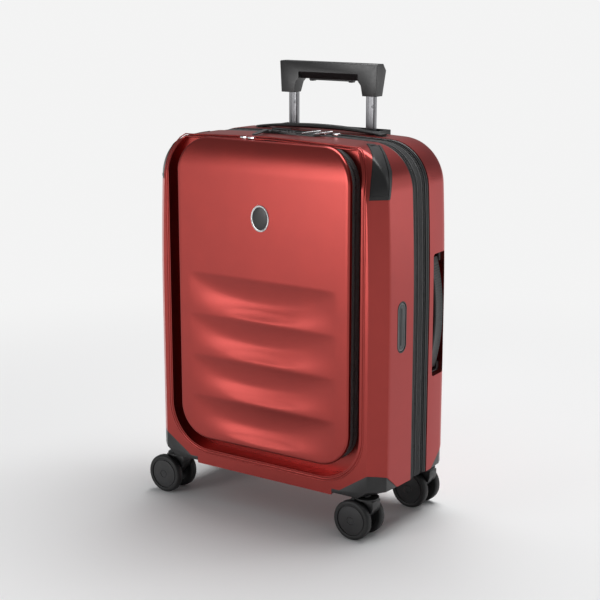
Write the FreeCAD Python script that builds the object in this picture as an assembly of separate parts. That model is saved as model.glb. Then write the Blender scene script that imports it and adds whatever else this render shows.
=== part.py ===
import FreeCAD, Part
import math
import os

from FreeCAD import Vector as V

# Hard-shell cabin case on four twin casters. Millimetres, +Z up, origin on the floor under the middle.
# X runs across the case, Y from the front door (-Y) to the back (+Y).

# Overall case
HALF_W = 200.0
TOP = 550.0
BOTTOM = 57.0
FRONT_Y = -94.0
FRONT_EDGE_Y = -11.0
REAR_EDGE_Y = 33.0
CORNER_R = 65.0
SIDE_LEAN = math.radians(3.0)
TOP_CROWN = math.radians(2.5)
LEAN_START_Z = 300.0
SKIRT_X = 160.0
SKIRT_Z = 72.0
WALL = 3.0
GAP = 0.3

# Front door and the channel round it
DOOR_HALF_W = 149.0
DOOR_Z0 = 99.0
DOOR_Z1 = 546.0
DOOR_R = 50.0
DOOR_FRONT_Y = -96.0
DOOR_ROLL_Z = 500.0
DOOR_ROLL_Y = -85.0
DOOR_RIM = 6.0
CHANNEL = 17.0
CHANNEL_FLOOR_Y = -69.0
FLANGE = 2.5
ZIP_SPLIT_Y = -80.0

# Casters
CASTER_X = 170.0
CASTER_Y = 78.0
TRAIL = 12.6
WHEEL_R = 29.0
WHEEL_W = 11.5
WHEEL_TRACK = 34.0
AXLE_R = 3.0
STEM_R = 5.0
RUN_FIT = 0.05
HOUSING_Z = 61.3
SWING_R = 52.0
FORK_HALF_T = 9.8
FORK_TOP = 58.0
STEM_TOP = 74.0

# Telescopic handle
TUBE_X = 68.0
TUBE_Y = 83.0
TUBE_WALL = 1.2
TUBE_FIT = 0.3
INNER_TUBE = (15.0, 8.5)
GRIP_TOP = 646.0
GRIP_HALF_W = 85.0
GRIP_LEG = 46.0
GRIP_FRONT_Y = 70.5
GRIP_REAR_Y = 95.5
BEZEL_FLOOR_Z = 500.0
BEZEL_HALF_W = 92.0

# Lock dials
DIAL_X = (-6.8, -0.9, 5.0)
DIAL_Y = -19.5
DIAL_Z = 549.2
DIAL_R = 5.2
SPINDLE_R = 1.15

# Zip sliders
MAIN_SLIDER_X = (45.0, 65.0)
DOOR_SLIDER_X = (-42.0, -29.0)
DOOR_SLIDER_Y = -74.5

# Name tag in the right side
TAG_X0 = 180.0


def box(x0, x1, y0, y1, z0, z1):
    """A box between two corners."""
    return Part.makeBox(x1 - x0, y1 - y0, z1 - z0, V(x0, y0, z0))


def slab_y(points, y0, y1):
    """A polygon given as (x, z) points, made solid from y0 to y1."""
    ring = [V(x, y0, z) for x, z in points]
    face = Part.Face(Part.makePolygon(ring + ring[:1]))
    return face.extrude(V(0, y1 - y0, 0))


def slab_x(points, x0, x1):
    """A polygon given as (y, z) points, made solid from x0 to x1."""
    ring = [V(x0, y, z) for y, z in points]
    face = Part.Face(Part.makePolygon(ring + ring[:1]))
    return face.extrude(V(x1 - x0, 0, 0))


def rounded(half_w, z0, z1, r, y0, y1):
    """A plate across the case with round corners, from y0 to y1."""
    plate = box(-half_w, half_w, y0, y1, z0, z1)
    deep = [e for e in plate.Edges if e.BoundBox.YLength > 0.01]
    return plate.makeFillet(r, deep)


def case_outline(y, half_w, top, r, bottom=BOTTOM, skirt_z=SKIRT_Z, inset=0.0):
    """The outline of the case at one depth: flat bottom, raised skirts, sides that lean in, crowned top."""
    half_w -= inset
    top -= inset
    r -= inset
    bottom += inset
    skirt_x = SKIRT_X - 0.18 * inset
    skirt_z += 0.69 * inset
    lean_end = top - r + r * math.sin(SIDE_LEAN) - half_w * math.tan(TOP_CROWN / 2)
    bow = (lean_end - LEAN_START_Z) * math.tan(SIDE_LEAN / 2)
    x_top = half_w - bow - r * (math.cos(SIDE_LEAN) - math.sin(TOP_CROWN))
    z_top = top - x_top * math.tan(TOP_CROWN / 2)
    cx = x_top - r * math.sin(TOP_CROWN)
    cz = z_top - r * math.cos(TOP_CROWN)
    corner = (cx + r * math.cos(SIDE_LEAN), cz + r * math.sin(SIDE_LEAN))
    mid = (math.pi / 2 + SIDE_LEAN - TOP_CROWN) / 2
    corner_mid = (cx + r * math.cos(mid), cz + r * math.sin(mid))
    big_r = (corner[1] - LEAN_START_Z) / math.sin(SIDE_LEAN)
    half = SIDE_LEAN / 2
    mid_x = corner[0] + big_r * (math.cos(half) - math.cos(SIDE_LEAN))
    bow_mid = (mid_x, LEAN_START_Z + big_r * math.sin(half))
    side = (corner[0] + big_r * (1 - math.cos(SIDE_LEAN)), LEAN_START_Z)

    def at(p, sign=1):
        return V(sign * p[0], y, p[1])

    low, skirt = (skirt_x, bottom), (side[0], skirt_z)
    top_end, top_mid = (x_top, z_top), V(0, y, top)
    edges = [
        Part.LineSegment(at(low, -1), at(low)).toShape(),
        Part.LineSegment(at(low), at(skirt)).toShape(),
        Part.LineSegment(at(skirt), at(side)).toShape(),
        Part.Arc(at(side), at(bow_mid), at(corner)).toShape(),
        Part.Arc(at(corner), at(corner_mid), at(top_end)).toShape(),
        Part.Arc(at(top_end), top_mid, at(top_end, -1)).toShape(),
        Part.Arc(at(top_end, -1), at(corner_mid, -1), at(corner, -1)).toShape(),
        Part.Arc(at(corner, -1), at(bow_mid, -1), at(side, -1)).toShape(),
        Part.LineSegment(at(side, -1), at(skirt, -1)).toShape(),
        Part.LineSegment(at(skirt, -1), at(low, -1)).toShape(),
    ]
    return Part.Wire(edges)


def case_prism(y0, y1, inset=0.0):
    """The full case section between two depths."""
    wire = case_outline(y0, HALF_W, TOP, CORNER_R, inset=inset)
    return Part.Face(wire).extrude(V(0, y1 - y0, 0))


def case_ring(y0, y1, outer, inner):
    """A band round the case between two depths, outer and inner millimetres under its skin."""
    return case_prism(y0, y1, outer).cut(case_prism(y0 - 1, y1 + 1, inner))


def front_block(inset, start_y):
    """The front half as a solid: chamfered sides and a top edge that rolls back."""
    sections = [
        case_outline(start_y, HALF_W - 21, TOP - 42, 34, BOTTOM + 1, inset=inset),
        case_outline(FRONT_Y + 9, HALF_W - 11.5, TOP - 19, 46, BOTTOM + 0.5, inset=inset),
        case_outline(FRONT_Y + 20, HALF_W - 1, TOP - 6, 58, inset=inset),
        case_outline(FRONT_Y + 30, HALF_W - 0.8, TOP, CORNER_R, inset=inset),
        case_outline(FRONT_EDGE_Y, HALF_W, TOP, CORNER_R, inset=inset),
    ]
    return Part.makeLoft(sections, True, True)


def rear_block(inset, end_y):
    """The rear half as a solid: round edges and a shallow crowned back."""
    sections = [
        case_outline(REAR_EDGE_Y, HALF_W, TOP, CORNER_R, inset=inset),
        case_outline(74, HALF_W - 3, TOP, CORNER_R, inset=inset),
        case_outline(86, HALF_W - 8, TOP - 4, 60, BOTTOM + 2, inset=inset),
        case_outline(94, HALF_W - 20, TOP - 14, 50, BOTTOM + 8, SKIRT_Z + 4, inset=inset),
        case_outline(end_y, HALF_W - 50, TOP - 44, 34, BOTTOM + 40, SKIRT_Z + 34, inset=inset),
    ]
    return Part.makeLoft(sections, True, True)


def at_corners(shape, front):
    """A front-right corner shape, mirrored to the right and left corners of the front or the back."""
    made = shape if front else shape.mirror(V(0, 0, 0), V(0, 1, 0))
    return [made, made.mirror(V(0, 0, 0), V(1, 0, 0))]


def corner_wedge(grow=0.0):
    """What a wheel housing takes out of the front-right corner: under a slanted plane, and its swing disc."""
    a, b, d = V(118, -94, 57), V(180, -94, 97), V(200, -47, 72)
    up = (b - a).cross(d - a).normalize()
    half = 300.0
    slab = Part.makeBox(2 * half, 2 * half, half, V(-half, -half, -half))
    slab.Placement = FreeCAD.Placement(a + up * grow, FreeCAD.Rotation(V(0, 0, 1), up))
    nearby = box(60, 260, -160, 0, 0, 130)
    disc = Part.makeCylinder(SWING_R + grow, 67 + grow - 20, V(CASTER_X, -CASTER_Y, 20))
    boss = Part.makeCylinder(10 + grow, 78 + grow - 20, V(CASTER_X, -CASTER_Y, 20))
    return slab.common(nearby).fuse([disc, boss])


def wheel_housing(block):
    """The plastic corner block that carries one caster, with the bore for its stem."""
    body = corner_wedge().common(block).common(box(0, 300, -200, 0, HOUSING_Z, 200))
    bore = Part.makeCylinder(STEM_R + RUN_FIT, STEM_TOP + 1 - 50, V(CASTER_X, -CASTER_Y, 50))
    return body.cut(bore)


def bumper_patch():
    """The six-sided patch over the chamfered top corner, as a prism across the front-right corner."""
    patch = [(60, 480), (62.5, 503), (67, 528), (71, 552), (90, 552), (96, 515), (89.5, 480)]
    along = V(1, 1, 0).normalize()
    out = V(1, -1, 0).normalize()
    ring = [along * u + V(0, 0, z) + out * 150 for u, z in patch]
    return Part.Face(Part.makePolygon(ring + ring[:1])).extrude(out * 90)


def lock_space():
    """The seat of the lock in the top of the front half."""
    return box(-46, 44, -27, -12, 541, 553)


def tag_space(grow, x0):
    """The pill-shaped seat of the name tag in the right side."""
    half_w, half_h, y, z = 9.5 + grow, 34 + grow, -41, 301
    middle = box(x0, 210, y - half_w, y + half_w, z - half_h + half_w, z + half_h - half_w)
    length = 210 - x0
    rise = half_h - half_w
    ends = [Part.makeCylinder(half_w, length, V(x0, y, z + s), V(1, 0, 0)) for s in (rise, -rise)]
    return middle.fuse(ends)


def front_shell():
    """The front half of the case with the door channel, its floor and the wheel corners."""
    outer = front_block(0, FRONT_Y)
    void = front_block(WALL, FRONT_Y + WALL)
    for wedge in at_corners(corner_wedge(WALL), True):
        void = void.cut(wedge)
    shell = outer.cut(void)
    for wedge in at_corners(corner_wedge(), True):
        shell = shell.cut(wedge)
    half_w, z0, z1, r = DOOR_HALF_W + CHANNEL, DOOR_Z0 - CHANNEL, DOOR_Z1 + CHANNEL, DOOR_R + CHANNEL
    trough = rounded(half_w, z0, z1, r, FRONT_Y - 20, CHANNEL_FLOOR_Y)
    lip = rounded(half_w + FLANGE, z0 - FLANGE, z1 + FLANGE, r + FLANGE, FRONT_Y, CHANNEL_FLOOR_Y + FLANGE)
    opening = rounded(DOOR_HALF_W - 5, DOOR_Z0 + 5, DOOR_Z1 - 5, DOOR_R - 5, FRONT_Y - 20, 0)
    shell = shell.fuse(lip.common(outer)).cut(trough).cut(opening)
    for patch in bumper_seats():
        shell = shell.cut(patch)
    shell = shell.cut(lock_space()).cut(tag_space(2.5, TAG_X0))
    return shell.removeSplitter()


def bumper_seats():
    """The two shallow seats of the corner bumpers."""
    skin = front_block(0, FRONT_Y).cut(front_block(1.6, FRONT_Y + 1.2))
    trough = rounded(DOOR_HALF_W + CHANNEL, 0, 700, DOOR_R, FRONT_Y - 20, CHANNEL_FLOOR_Y)
    patch = bumper_patch().common(skin).cut(trough)
    return at_corners(patch, True)


def wheel_housings(front):
    """Both corner blocks of the front or the rear half."""
    block = front_block(0, FRONT_Y) if front else rear_block(0, 99).mirror(V(0, 0, 0), V(0, 1, 0))
    return Part.makeCompound(at_corners(wheel_housing(block), front))


def door_plate(inset, y1):
    """The outside of the front door, thinner by inset, as a solid back to y1."""
    y0 = DOOR_FRONT_Y + inset
    plate = rounded(DOOR_HALF_W - inset, DOOR_Z0 + inset, DOOR_Z1 - inset, DOOR_R - inset, y0, y1)
    start = (y0, DOOR_ROLL_Z)
    end = (DOOR_ROLL_Y + 0.8 * inset, DOOR_Z1 - 0.4 * inset)
    mid = (start[0] + 2.2, (start[1] + end[1]) / 2 + 3)
    outside = [(y0 - 9, start[1] - 20), start, mid, end, (end[0], end[1] + 9), (y0 - 9, end[1] + 9)]
    return plate.cut(slab_x(outside, -DOOR_HALF_W - 1, DOOR_HALF_W + 1))


def top_rim():
    """What the moulding keeps and the zip tape gives up where the door rolls back."""
    y0, z0, z1 = DOOR_FRONT_Y - 14, 510, 560
    rim_y = DOOR_FRONT_Y + DOOR_RIM
    return slab_x([(y0, z0), (rim_y, z0), (rim_y + 14, z1), (y0, z1)], -HALF_W, HALF_W)


def front_door():
    """The door moulding: a shallow pan, open to the back."""
    rim_y = DOOR_FRONT_Y + DOOR_RIM
    pan = door_plate(0, CHANNEL_FLOOR_Y).cut(door_plate(2.2, CHANNEL_FLOOR_Y + 5))
    return pan.common(box(-HALF_W, HALF_W, DOOR_FRONT_Y - 5, rim_y, 0, 520).fuse(top_rim()))


def badge():
    """A plain oval plate on the door."""
    plate = Part.Ellipse(V(0, 0, 0), 19, 15.5).toShape()
    solid = Part.Face(Part.Wire(plate)).extrude(V(0, 0, 1.5))
    solid.rotate(V(0, 0, 0), V(0, 0, 1), 90)
    solid.rotate(V(0, 0, 0), V(1, 0, 0), 90)
    solid.translate(V(0, DOOR_FRONT_Y, 439.5))
    return solid


def door_tape(y0, y1):
    """Half of the door zip: a ring that continues the door's side wall."""
    outside = door_plate(0.8, CHANNEL_FLOOR_Y + 1)
    ring = outside.cut(door_plate(3, CHANNEL_FLOOR_Y + 5)).common(box(-HALF_W, HALF_W, y0, y1, 0, 600))
    return ring.cut(top_rim())


def rear_shell():
    """The rear half with the seats of the long handle, the carry handles and the wheel corners."""
    outer = rear_block(0, 99)
    void = rear_block(WALL, 99 - WALL)
    seat = handle_recess(0)
    for wedge in at_corners(corner_wedge(WALL), False):
        void = void.cut(wedge)
    void = void.cut(handle_recess(WALL - 0.5))
    shell = outer.cut(void).cut(seat)
    for wedge in at_corners(corner_wedge(), False):
        shell = shell.cut(wedge)
    shell = shell.cut(bezel_block())
    for x in (-104, 104):
        shell = shell.cut(box(x - 11, x + 11, 42, 60, 516, 560))
    return shell.removeSplitter()


def handle_recess(grow):
    """The side handle's recess, open to the right and reaching the rear corner."""
    pocket = box(176 - grow, 215, 44 - grow, 82 + grow, 211 - grow, 389 + grow)
    return pocket


def bezel_block():
    """The outside of the long handle's bezel."""
    return box(-BEZEL_HALF_W, BEZEL_HALF_W, 66.5, 98.5, BEZEL_FLOOR_Z, 552)


def tube_hole(size, grow, z0, z1):
    """Both telescopic tubes as solid bars of one size."""
    w, d = size[0] / 2 + grow, size[1] / 2 + grow
    return [box(x - w, x + w, TUBE_Y - d, TUBE_Y + d, z0, z1) for x in (-TUBE_X, TUBE_X)]


def tube_pair(step, z0, z1):
    """Two tubes, step stages outside the innermost one."""
    grow = step * (TUBE_WALL + TUBE_FIT)
    outside = tube_hole(INNER_TUBE, grow, z0, z1)
    inside = tube_hole(INNER_TUBE, grow - TUBE_WALL, z0 - 1, z1 + 1)
    return Part.makeCompound([a.cut(b) for a, b in zip(outside, inside)])


def trolley_bezel():
    """The frame that the grip drops into, with a hole for each tube in its floor."""
    cavity = box(-BEZEL_HALF_W + 3, BEZEL_HALF_W - 3, 68.5, 97, BEZEL_FLOOR_Z + 3, 560)
    bezel = bezel_block().cut(cavity)
    for hole in tube_hole(INNER_TUBE, TUBE_WALL + 2 * TUBE_FIT, BEZEL_FLOOR_Z - 5, BEZEL_FLOOR_Z + 5):
        bezel = bezel.cut(hole)
    return bezel


def grip():
    """The long handle's grip: a bar on two legs that carry the tubes, with a slot for the release bar."""
    half, leg_z = GRIP_HALF_W, GRIP_TOP - GRIP_LEG
    outline = [(-half, GRIP_TOP), (half, GRIP_TOP), (half - 2.5, leg_z), (60, leg_z), (57, 615), (52, 621)]
    outline += [(-52, 621), (-57, 615), (-60, leg_z), (-half + 2.5, leg_z)]
    side = [(GRIP_FRONT_Y, leg_z), (GRIP_FRONT_Y, GRIP_TOP - 1), (GRIP_FRONT_Y + 2, GRIP_TOP)]
    side += [(87, GRIP_TOP), (GRIP_REAR_Y, 636), (89, leg_z)]
    body = slab_y(outline, GRIP_FRONT_Y, GRIP_REAR_Y).common(slab_x(side, -half, half))
    slope = [(GRIP_FRONT_Y - 1, 600), (GRIP_FRONT_Y - 1, 631), (GRIP_FRONT_Y, 631), (77, 621), (77, 600)]
    body = body.cut(slab_x(slope, -52, 52)).cut(box(-38, 38, 77.5, 88.5, 615, 627))
    for socket in tube_hole(INNER_TUBE, 0, leg_z - 1, leg_z + 20):
        body = body.cut(socket)
    return body


def release_bar():
    """The bar under the grip that unlocks the tubes, with a bump at each end."""
    bar = box(-37.5, 37.5, 78, 88, 619, 625)
    bumps = [box(x - 3, x + 3, 79, 87, 617.5, 619) for x in (-34, 34)]
    return bar.fuse(bumps)


def top_handle():
    """The arched carry handle on top, with a leg into the case at each end."""
    span, y0, y1 = 110.0, 43.5, 58.5
    outer = Part.Arc(V(-span, y0, 551), V(0, y0, 558.5), V(span, y0, 551)).toShape()
    inner = Part.Arc(V(span, y0, 548.4), V(0, y0, 553), V(-span, y0, 548.4)).toShape()
    ends = [Part.LineSegment(V(s * span, y0, 551), V(s * span, y0, 548.4)).toShape() for s in (1, -1)]
    arch = Part.Face(Part.Wire(Part.__sortEdges__([outer, inner] + ends))).extrude(V(0, y1 - y0, 0))
    legs = [box(x - 5, x + 5, 46, 56, 521, 550.5) for x in (-104, 104)]
    return arch.fuse(legs)


def top_handle_mounts():
    """The two sockets that the top handle's legs slide in."""
    made = []
    for x in (-104, 104):
        body = box(x - 11, x + 11, 42, 60, 516, 547.6)
        made.append(body.cut(box(x - 5.4, x + 5.4, 45.6, 56.4, 519, 560)))
    return Part.makeCompound(made)


def side_handle():
    """The strap on the right side, bowed out between its two ends."""
    z0, z1, y0, y1 = 220.0, 380.0, 52.0, 74.0
    outer = Part.Arc(V(188, y0, z0), V(199.5, y0, 300), V(188, y0, z1)).toShape()
    inner = Part.Arc(V(181, y0, z1), V(192, y0, 300), V(181, y0, z0)).toShape()
    ends = [Part.LineSegment(V(188, y0, z), V(181, y0, z)).toShape() for z in (z0, z1)]
    return Part.Face(Part.Wire(Part.__sortEdges__([outer, inner] + ends))).extrude(V(0, y1 - y0, 0))


def side_handle_mounts():
    """The end pockets that hold the strap."""
    made = []
    for z0, z1 in ((211.3, 226), (374, 388.7)):
        body = box(176.3, 190, 44.3, 81.7, z0, z1)
        low, high = (z0 + 3, z1 + 1) if z0 < 300 else (z0 - 1, z1 - 3)
        made.append(body.cut(box(178, 195, 51.6, 74.4, low, high)))
    return Part.makeCompound(made)


def id_tag_parts():
    """The name tag's pill-shaped frame, fixed in the side, and the tag that pulls out of it."""
    inside = TAG_X0 + 1.5
    frame = tag_space(2.5, TAG_X0).cut(tag_space(0.4, inside))
    frame = frame.common(box(0, 200.6, -80, 0, 200, 400))
    tag = tag_space(0, inside + 0.5).common(box(0, 200.2, -80, 0, 200, 400))
    return frame, tag


def lock_body():
    """The lock case, with slots for three dials and a seat for its button."""
    body = lock_space().cut(box(13, 60, -40, 0, 551, 560))
    for x in DIAL_X:
        body = body.cut(box(x - 2.2, x + 2.2, DIAL_Y - 5.8, DIAL_Y + 5.8, 543.4, 560))
    body = body.fuse(Part.makeCylinder(SPINDLE_R, 20, V(-11, DIAL_Y, DIAL_Z), V(1, 0, 0)))
    return body.cut(box(-34, -16, -24.3, -16.7, 549.5, 560))


def lock_dial(x):
    """One number wheel of the lock, its axis along X, with grip notches round its rim."""
    wheel = Part.makeCylinder(DIAL_R, 3.6, V(x - 1.8, DIAL_Y, DIAL_Z), V(1, 0, 0))
    wheel = wheel.cut(Part.makeCylinder(SPINDLE_R + RUN_FIT, 6, V(x - 3, DIAL_Y, DIAL_Z), V(1, 0, 0)))
    for n in range(10):
        a = math.radians(36 * n + 18)
        y, z = DIAL_Y + (DIAL_R + 0.2) * math.cos(a), DIAL_Z + (DIAL_R + 0.2) * math.sin(a)
        wheel = wheel.cut(Part.makeCylinder(0.6, 6, V(x - 3, y, z), V(1, 0, 0)))
    return wheel


def lock_button():
    """The button that frees the zip pulls."""
    return box(-33.5, -21, -24, -17, 549.8, 554.2)


def zip_pull(start, end, z0, z1, width, thickness):
    """A flat pull tab from its slider to its free end, tapered and holed at the slider."""
    along = V(end[0] - start[0], end[1] - start[1], 0)
    length = along.Length
    half = width / 2
    near = [V(0, -half * 0.6, 0), V(length * 0.3, -half, 0), V(length, -half, 0)]
    far = [V(p.x, -p.y, 0) for p in reversed(near)]
    ring = near + far
    tab = Part.Face(Part.makePolygon(ring + ring[:1])).extrude(V(0, 0, thickness))
    tilt = math.degrees(math.atan2(z1 - z0, length))
    turn = math.degrees(math.atan2(along.y, along.x))
    tab.rotate(V(0, 0, 0), V(0, 1, 0), -tilt)
    tab.rotate(V(0, 0, 0), V(0, 0, 1), turn)
    tab.translate(V(start[0], start[1], z0))
    return tab


def main_pull(x):
    """One metal pull of the main zip, from its slider down to the lock's dock."""
    return zip_pull((x - 4, -5.5), (x - 27.5, -20), 555.2, 551.6, 8, 2)


def slider(x, y, z):
    """A zip slider body, notched at both ends where the tape runs in."""
    sx, sy, sz = 11, 7, 3.7
    body = box(x - sx / 2, x + sx / 2, y - sy / 2, y + sy / 2, z, z + sz)
    for s in (1, -1):
        body = body.cut(box(x + s * sx / 2 - 2, x + s * sx / 2 + 2, y - 1, y + 1, z - 1, z + sz + 1))
    return body


def fork(x, y):
    """The caster's middle leg: stem, round top plate and web down to the axle."""
    cx = x - TRAIL
    outline = [(x - 16, FORK_TOP - 9), (x + 16, FORK_TOP - 9), (x + 14, FORK_TOP - 16)]
    outline += [(cx + 11.5, WHEEL_R - 3), (cx - 11.5, WHEEL_R - 3), (cx - 13, WHEEL_R + 4)]
    web = slab_y(outline, y - FORK_HALF_T, y + FORK_HALF_T)
    foot = Part.makeCylinder(12, 2 * FORK_HALF_T, V(cx, y - FORK_HALF_T, WHEEL_R), V(0, 1, 0))
    head = Part.makeCone(FORK_HALF_T, 17, 9, V(x, y, FORK_TOP - 9))
    block = box(x - 16, x + 16, y - FORK_HALF_T, y + FORK_HALF_T, FORK_TOP - 9.5, FORK_TOP)
    plate = Part.makeCylinder(17, 2.4, V(x, y, FORK_TOP + 0.6))
    head = head.common(box(x - 20, x + 20, y - FORK_HALF_T, y + FORK_HALF_T, 0, 100))
    neck = Part.makeCylinder(9, 3, V(x, y, FORK_TOP - 1))
    stem = Part.makeCylinder(STEM_R, STEM_TOP - FORK_TOP, V(x, y, FORK_TOP))
    body = web.fuse([foot, head, block, neck, plate, stem])
    hole = Part.makeCylinder(AXLE_R, 40, V(cx, y - 20, WHEEL_R), V(0, 1, 0))
    return body.cut(hole).removeSplitter()


def axle(x, y):
    """The steel axle through the fork."""
    half = WHEEL_TRACK / 2 + WHEEL_W / 2 - 1.5
    return Part.makeCylinder(AXLE_R, 2 * half, V(x - TRAIL, y - half, WHEEL_R), V(0, 1, 0))


def wheel(x, y, side):
    """One wheel of a twin caster: tyre with round shoulders, groove and domed cap on the outer face."""
    cx, mid, half = x - TRAIL, y + side * WHEEL_TRACK / 2, WHEEL_W / 2
    a, b = (mid - half, mid + half)
    body = Part.makeCylinder(WHEEL_R, WHEEL_W, V(cx, a, WHEEL_R), V(0, 1, 0))
    body = body.makeFillet(3.2, [e for e in body.Edges if e.Closed and e.BoundBox.YLength < 0.01])
    outer_y = b if side > 0 else a
    ring = Part.makeCylinder(22.5, 2, V(cx, outer_y - 1, WHEEL_R), V(0, 1, 0))
    ring = ring.cut(Part.makeCylinder(20.5, 4, V(cx, outer_y - 2, WHEEL_R), V(0, 1, 0)))
    inner_face = a if side > 0 else b
    recess = Part.makeCylinder(19, 3, V(cx, inner_face - 1.5, WHEEL_R), V(0, 1, 0))
    boss = Part.makeCylinder(7, 4, V(cx, inner_face - 2, WHEEL_R), V(0, 1, 0))
    cap = 1.2
    bore_start = a - 1 if side > 0 else a + cap
    bore = Part.makeCylinder(AXLE_R + RUN_FIT, WHEEL_W - cap + 1, V(cx, bore_start, WHEEL_R), V(0, 1, 0))
    return body.cut(ring).cut(recess.cut(boss)).cut(bore)


def tray(y0, y1, inset, wall, open_rear, obstacles):
    """A fabric lining open to the front or the rear, which wraps round what stands into the case."""
    outside = case_prism(y0, y1, inset)
    hollow = case_prism(y0 + (wall if open_rear else -1), y1 + (1 if open_rear else -wall), inset + wall)
    for obstacle in obstacles(1):
        outside = outside.cut(obstacle)
    for obstacle in obstacles(1 + wall):
        hollow = hollow.cut(obstacle)
    return outside.cut(hollow)


def rear_obstacles(clear):
    """What stands into the rear compartment, grown by a clearance."""
    half_w, side = BEZEL_HALF_W + clear, 11 + clear
    grown = [box(-half_w, half_w, 66.5 - clear, 120, BEZEL_FLOOR_Z - clear, 560)]
    grown += [box(x - side, x + side, 42 - clear, 60 + clear, 516 - clear, 560) for x in (-104, 104)]
    return grown + [handle_recess(WALL + clear)] + at_corners(corner_wedge(WALL + clear), False)


def front_obstacles(clear):
    """What stands into the front half of the compartment, grown by a clearance."""
    lock = box(-46 - clear, 44 + clear, -27 - clear, 0, 541 - clear, 560)
    return [lock, tag_space(2.5 + clear, TAG_X0 - clear)] + at_corners(corner_wedge(WALL + clear), True)


def expansion_gusset():
    """The fabric sleeve that slides out of the rear half when the case grows."""
    sleeve = case_ring(4, 41, 5, 6)
    for wedge in at_corners(corner_wedge(WALL + 0.7), False):
        sleeve = sleeve.cut(wedge)
    return sleeve


def packing_straps():
    """Two straps that cross over the rear compartment."""
    made = []
    for turn in (1, -1):
        half = 262.0
        strap = box(-half, half, 40 + turn * 0.8, 41.2 + turn * 0.8, -12.5, 12.5)
        strap.rotate(V(0, 0, 0), V(0, 1, 0), turn * 48)
        strap.translate(V(0, 0, 305))
        made.append(strap.cut(box(-21, 21, 30, 50, 290, 320)))
    return Part.makeCompound(made)


def expansion_zip():
    """The second zip, and the piping that joins it to the rear shell."""
    return Part.makeCompound([case_ring(17.3, 24, 1.8, 4), case_ring(24, REAR_EDGE_Y, 0.4, 4)])


def door_lining():
    """The cloth panel on the back of the door."""
    y = DOOR_FRONT_Y + 2.4
    return rounded(DOOR_HALF_W - 4, DOOR_Z0 + 4, 494, 44, y, y + 2)


def door_pull():
    """The strap on the door zip's slider, laid back over the top."""
    return zip_pull((DOOR_SLIDER_X[1] - 1, DOOR_SLIDER_Y + 4.5), (-37, -28.5), 551, 554, 8, 2)


def laptop_sleeve():
    """The walls of the compartment behind the door."""
    wall = 1.5
    start = CHANNEL_FLOOR_Y + FLANGE + 0.1
    half_w, z0, z1, r = DOOR_HALF_W - 3, DOOR_Z0 + 3, DOOR_Z1 - 4, DOOR_R - 3
    outside = rounded(half_w, z0, z1, r, start, -39)
    inside = rounded(half_w - wall, z0 + wall, z1 - wall, r - wall, start - 1, -39 - wall)
    return outside.cut(inside)


def build():
    """Write every sub-part to its own file."""
    os.makedirs("parts", exist_ok=True)
    frame, tag = id_tag_parts()
    parts = {
        "rear_shell": rear_shell(),
        "rear_lining": tray(34.5, 71.5, 8, 1.2, False, rear_obstacles),
        "rear_wheel_housings": wheel_housings(False),
        "trolley_bezel": trolley_bezel(),
        "outer_tubes": tube_pair(2, 72, BEZEL_FLOOR_Z - 0.3),
        "tube_foot": box(-84, 84, 74, 88, 65.5, 72),
        "top_handle_mounts": top_handle_mounts(),
        "side_handle_mounts": side_handle_mounts(),
        "expansion_zip": expansion_zip(),
        "packing_straps": packing_straps(),
        "strap_buckle": box(-20, 20, 37, 45, 291, 319),
        "expansion_pull": zip_pull((-30, 20.6), (-62, 20.6), 549.9, 549.9, 6, 1.8),
        "middle_tape": case_ring(3, 17, 1.2, 4),
        "main_zip": case_ring(-3.7, 3, 1.8, 4),
        "expansion_gusset": expansion_gusset(),
        "front_shell": front_shell(),
        "front_lining": tray(-38, FRONT_EDGE_Y - 0.5, 5, 1.2, True, front_obstacles),
        "laptop_sleeve": laptop_sleeve(),
        "front_wheel_housings": wheel_housings(True),
        "corner_bumpers": Part.makeCompound(bumper_seats()),
        "id_tag_frame": frame,
        "id_tag": tag,
        "front_piping": case_ring(FRONT_EDGE_Y, -4, 0.4, 4),
        "lock_body": lock_body(),
        "lock_button": lock_button(),
        "main_sliders": Part.makeCompound([slider(x, -3.5, 550.4) for x in MAIN_SLIDER_X]),
        "main_pull_left": main_pull(MAIN_SLIDER_X[0]),
        "main_pull_right": main_pull(MAIN_SLIDER_X[1]),
        "door_sliders": Part.makeCompound([slider(x, DOOR_SLIDER_Y, 546.4) for x in DOOR_SLIDER_X]),
        "door_pull": door_pull(),
        "front_door": front_door(),
        "door_lining": door_lining(),
        "badge": badge(),
        "door_zip": door_tape(DOOR_FRONT_Y + DOOR_RIM, ZIP_SPLIT_Y - GAP),
        "frame_zip": door_tape(ZIP_SPLIT_Y, CHANNEL_FLOOR_Y),
        "top_handle": top_handle(),
        "side_handle": side_handle(),
        "middle_tubes": tube_pair(1, 180, 498),
        "inner_tubes": tube_pair(0, 270, GRIP_TOP - GRIP_LEG + 20),
        "grip": grip(),
        "release_bar": release_bar(),
    }
    for n, x in enumerate(DIAL_X, 1):
        parts[f"lock_dial_{n}"] = lock_dial(x)
    for front, y in (("front", -CASTER_Y), ("rear", CASTER_Y)):
        for side, x in (("left", -CASTER_X), ("right", CASTER_X)):
            parts[f"fork_{front}_{side}"] = fork(x, y)
            parts[f"axle_{front}_{side}"] = axle(x, y)
            parts[f"wheel_{front}_{side}_a"] = wheel(x, y, -1)
            parts[f"wheel_{front}_{side}_b"] = wheel(x, y, 1)
    for name, shape in parts.items():
        shape.exportStep(f"parts/{name}.step")
        print(name, len(shape.Solids), round(shape.Volume / 1000, 2), shape.isValid())


build()
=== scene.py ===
"""Hard-shell cabin case: the visible pieces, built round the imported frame. Metres, +Z up, front at -Y."""

import logging
import math
from dataclasses import dataclass, field
from enum import Enum
from typing import Callable, Sequence

import bmesh
import bpy
from mathutils import Matrix, Vector


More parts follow.
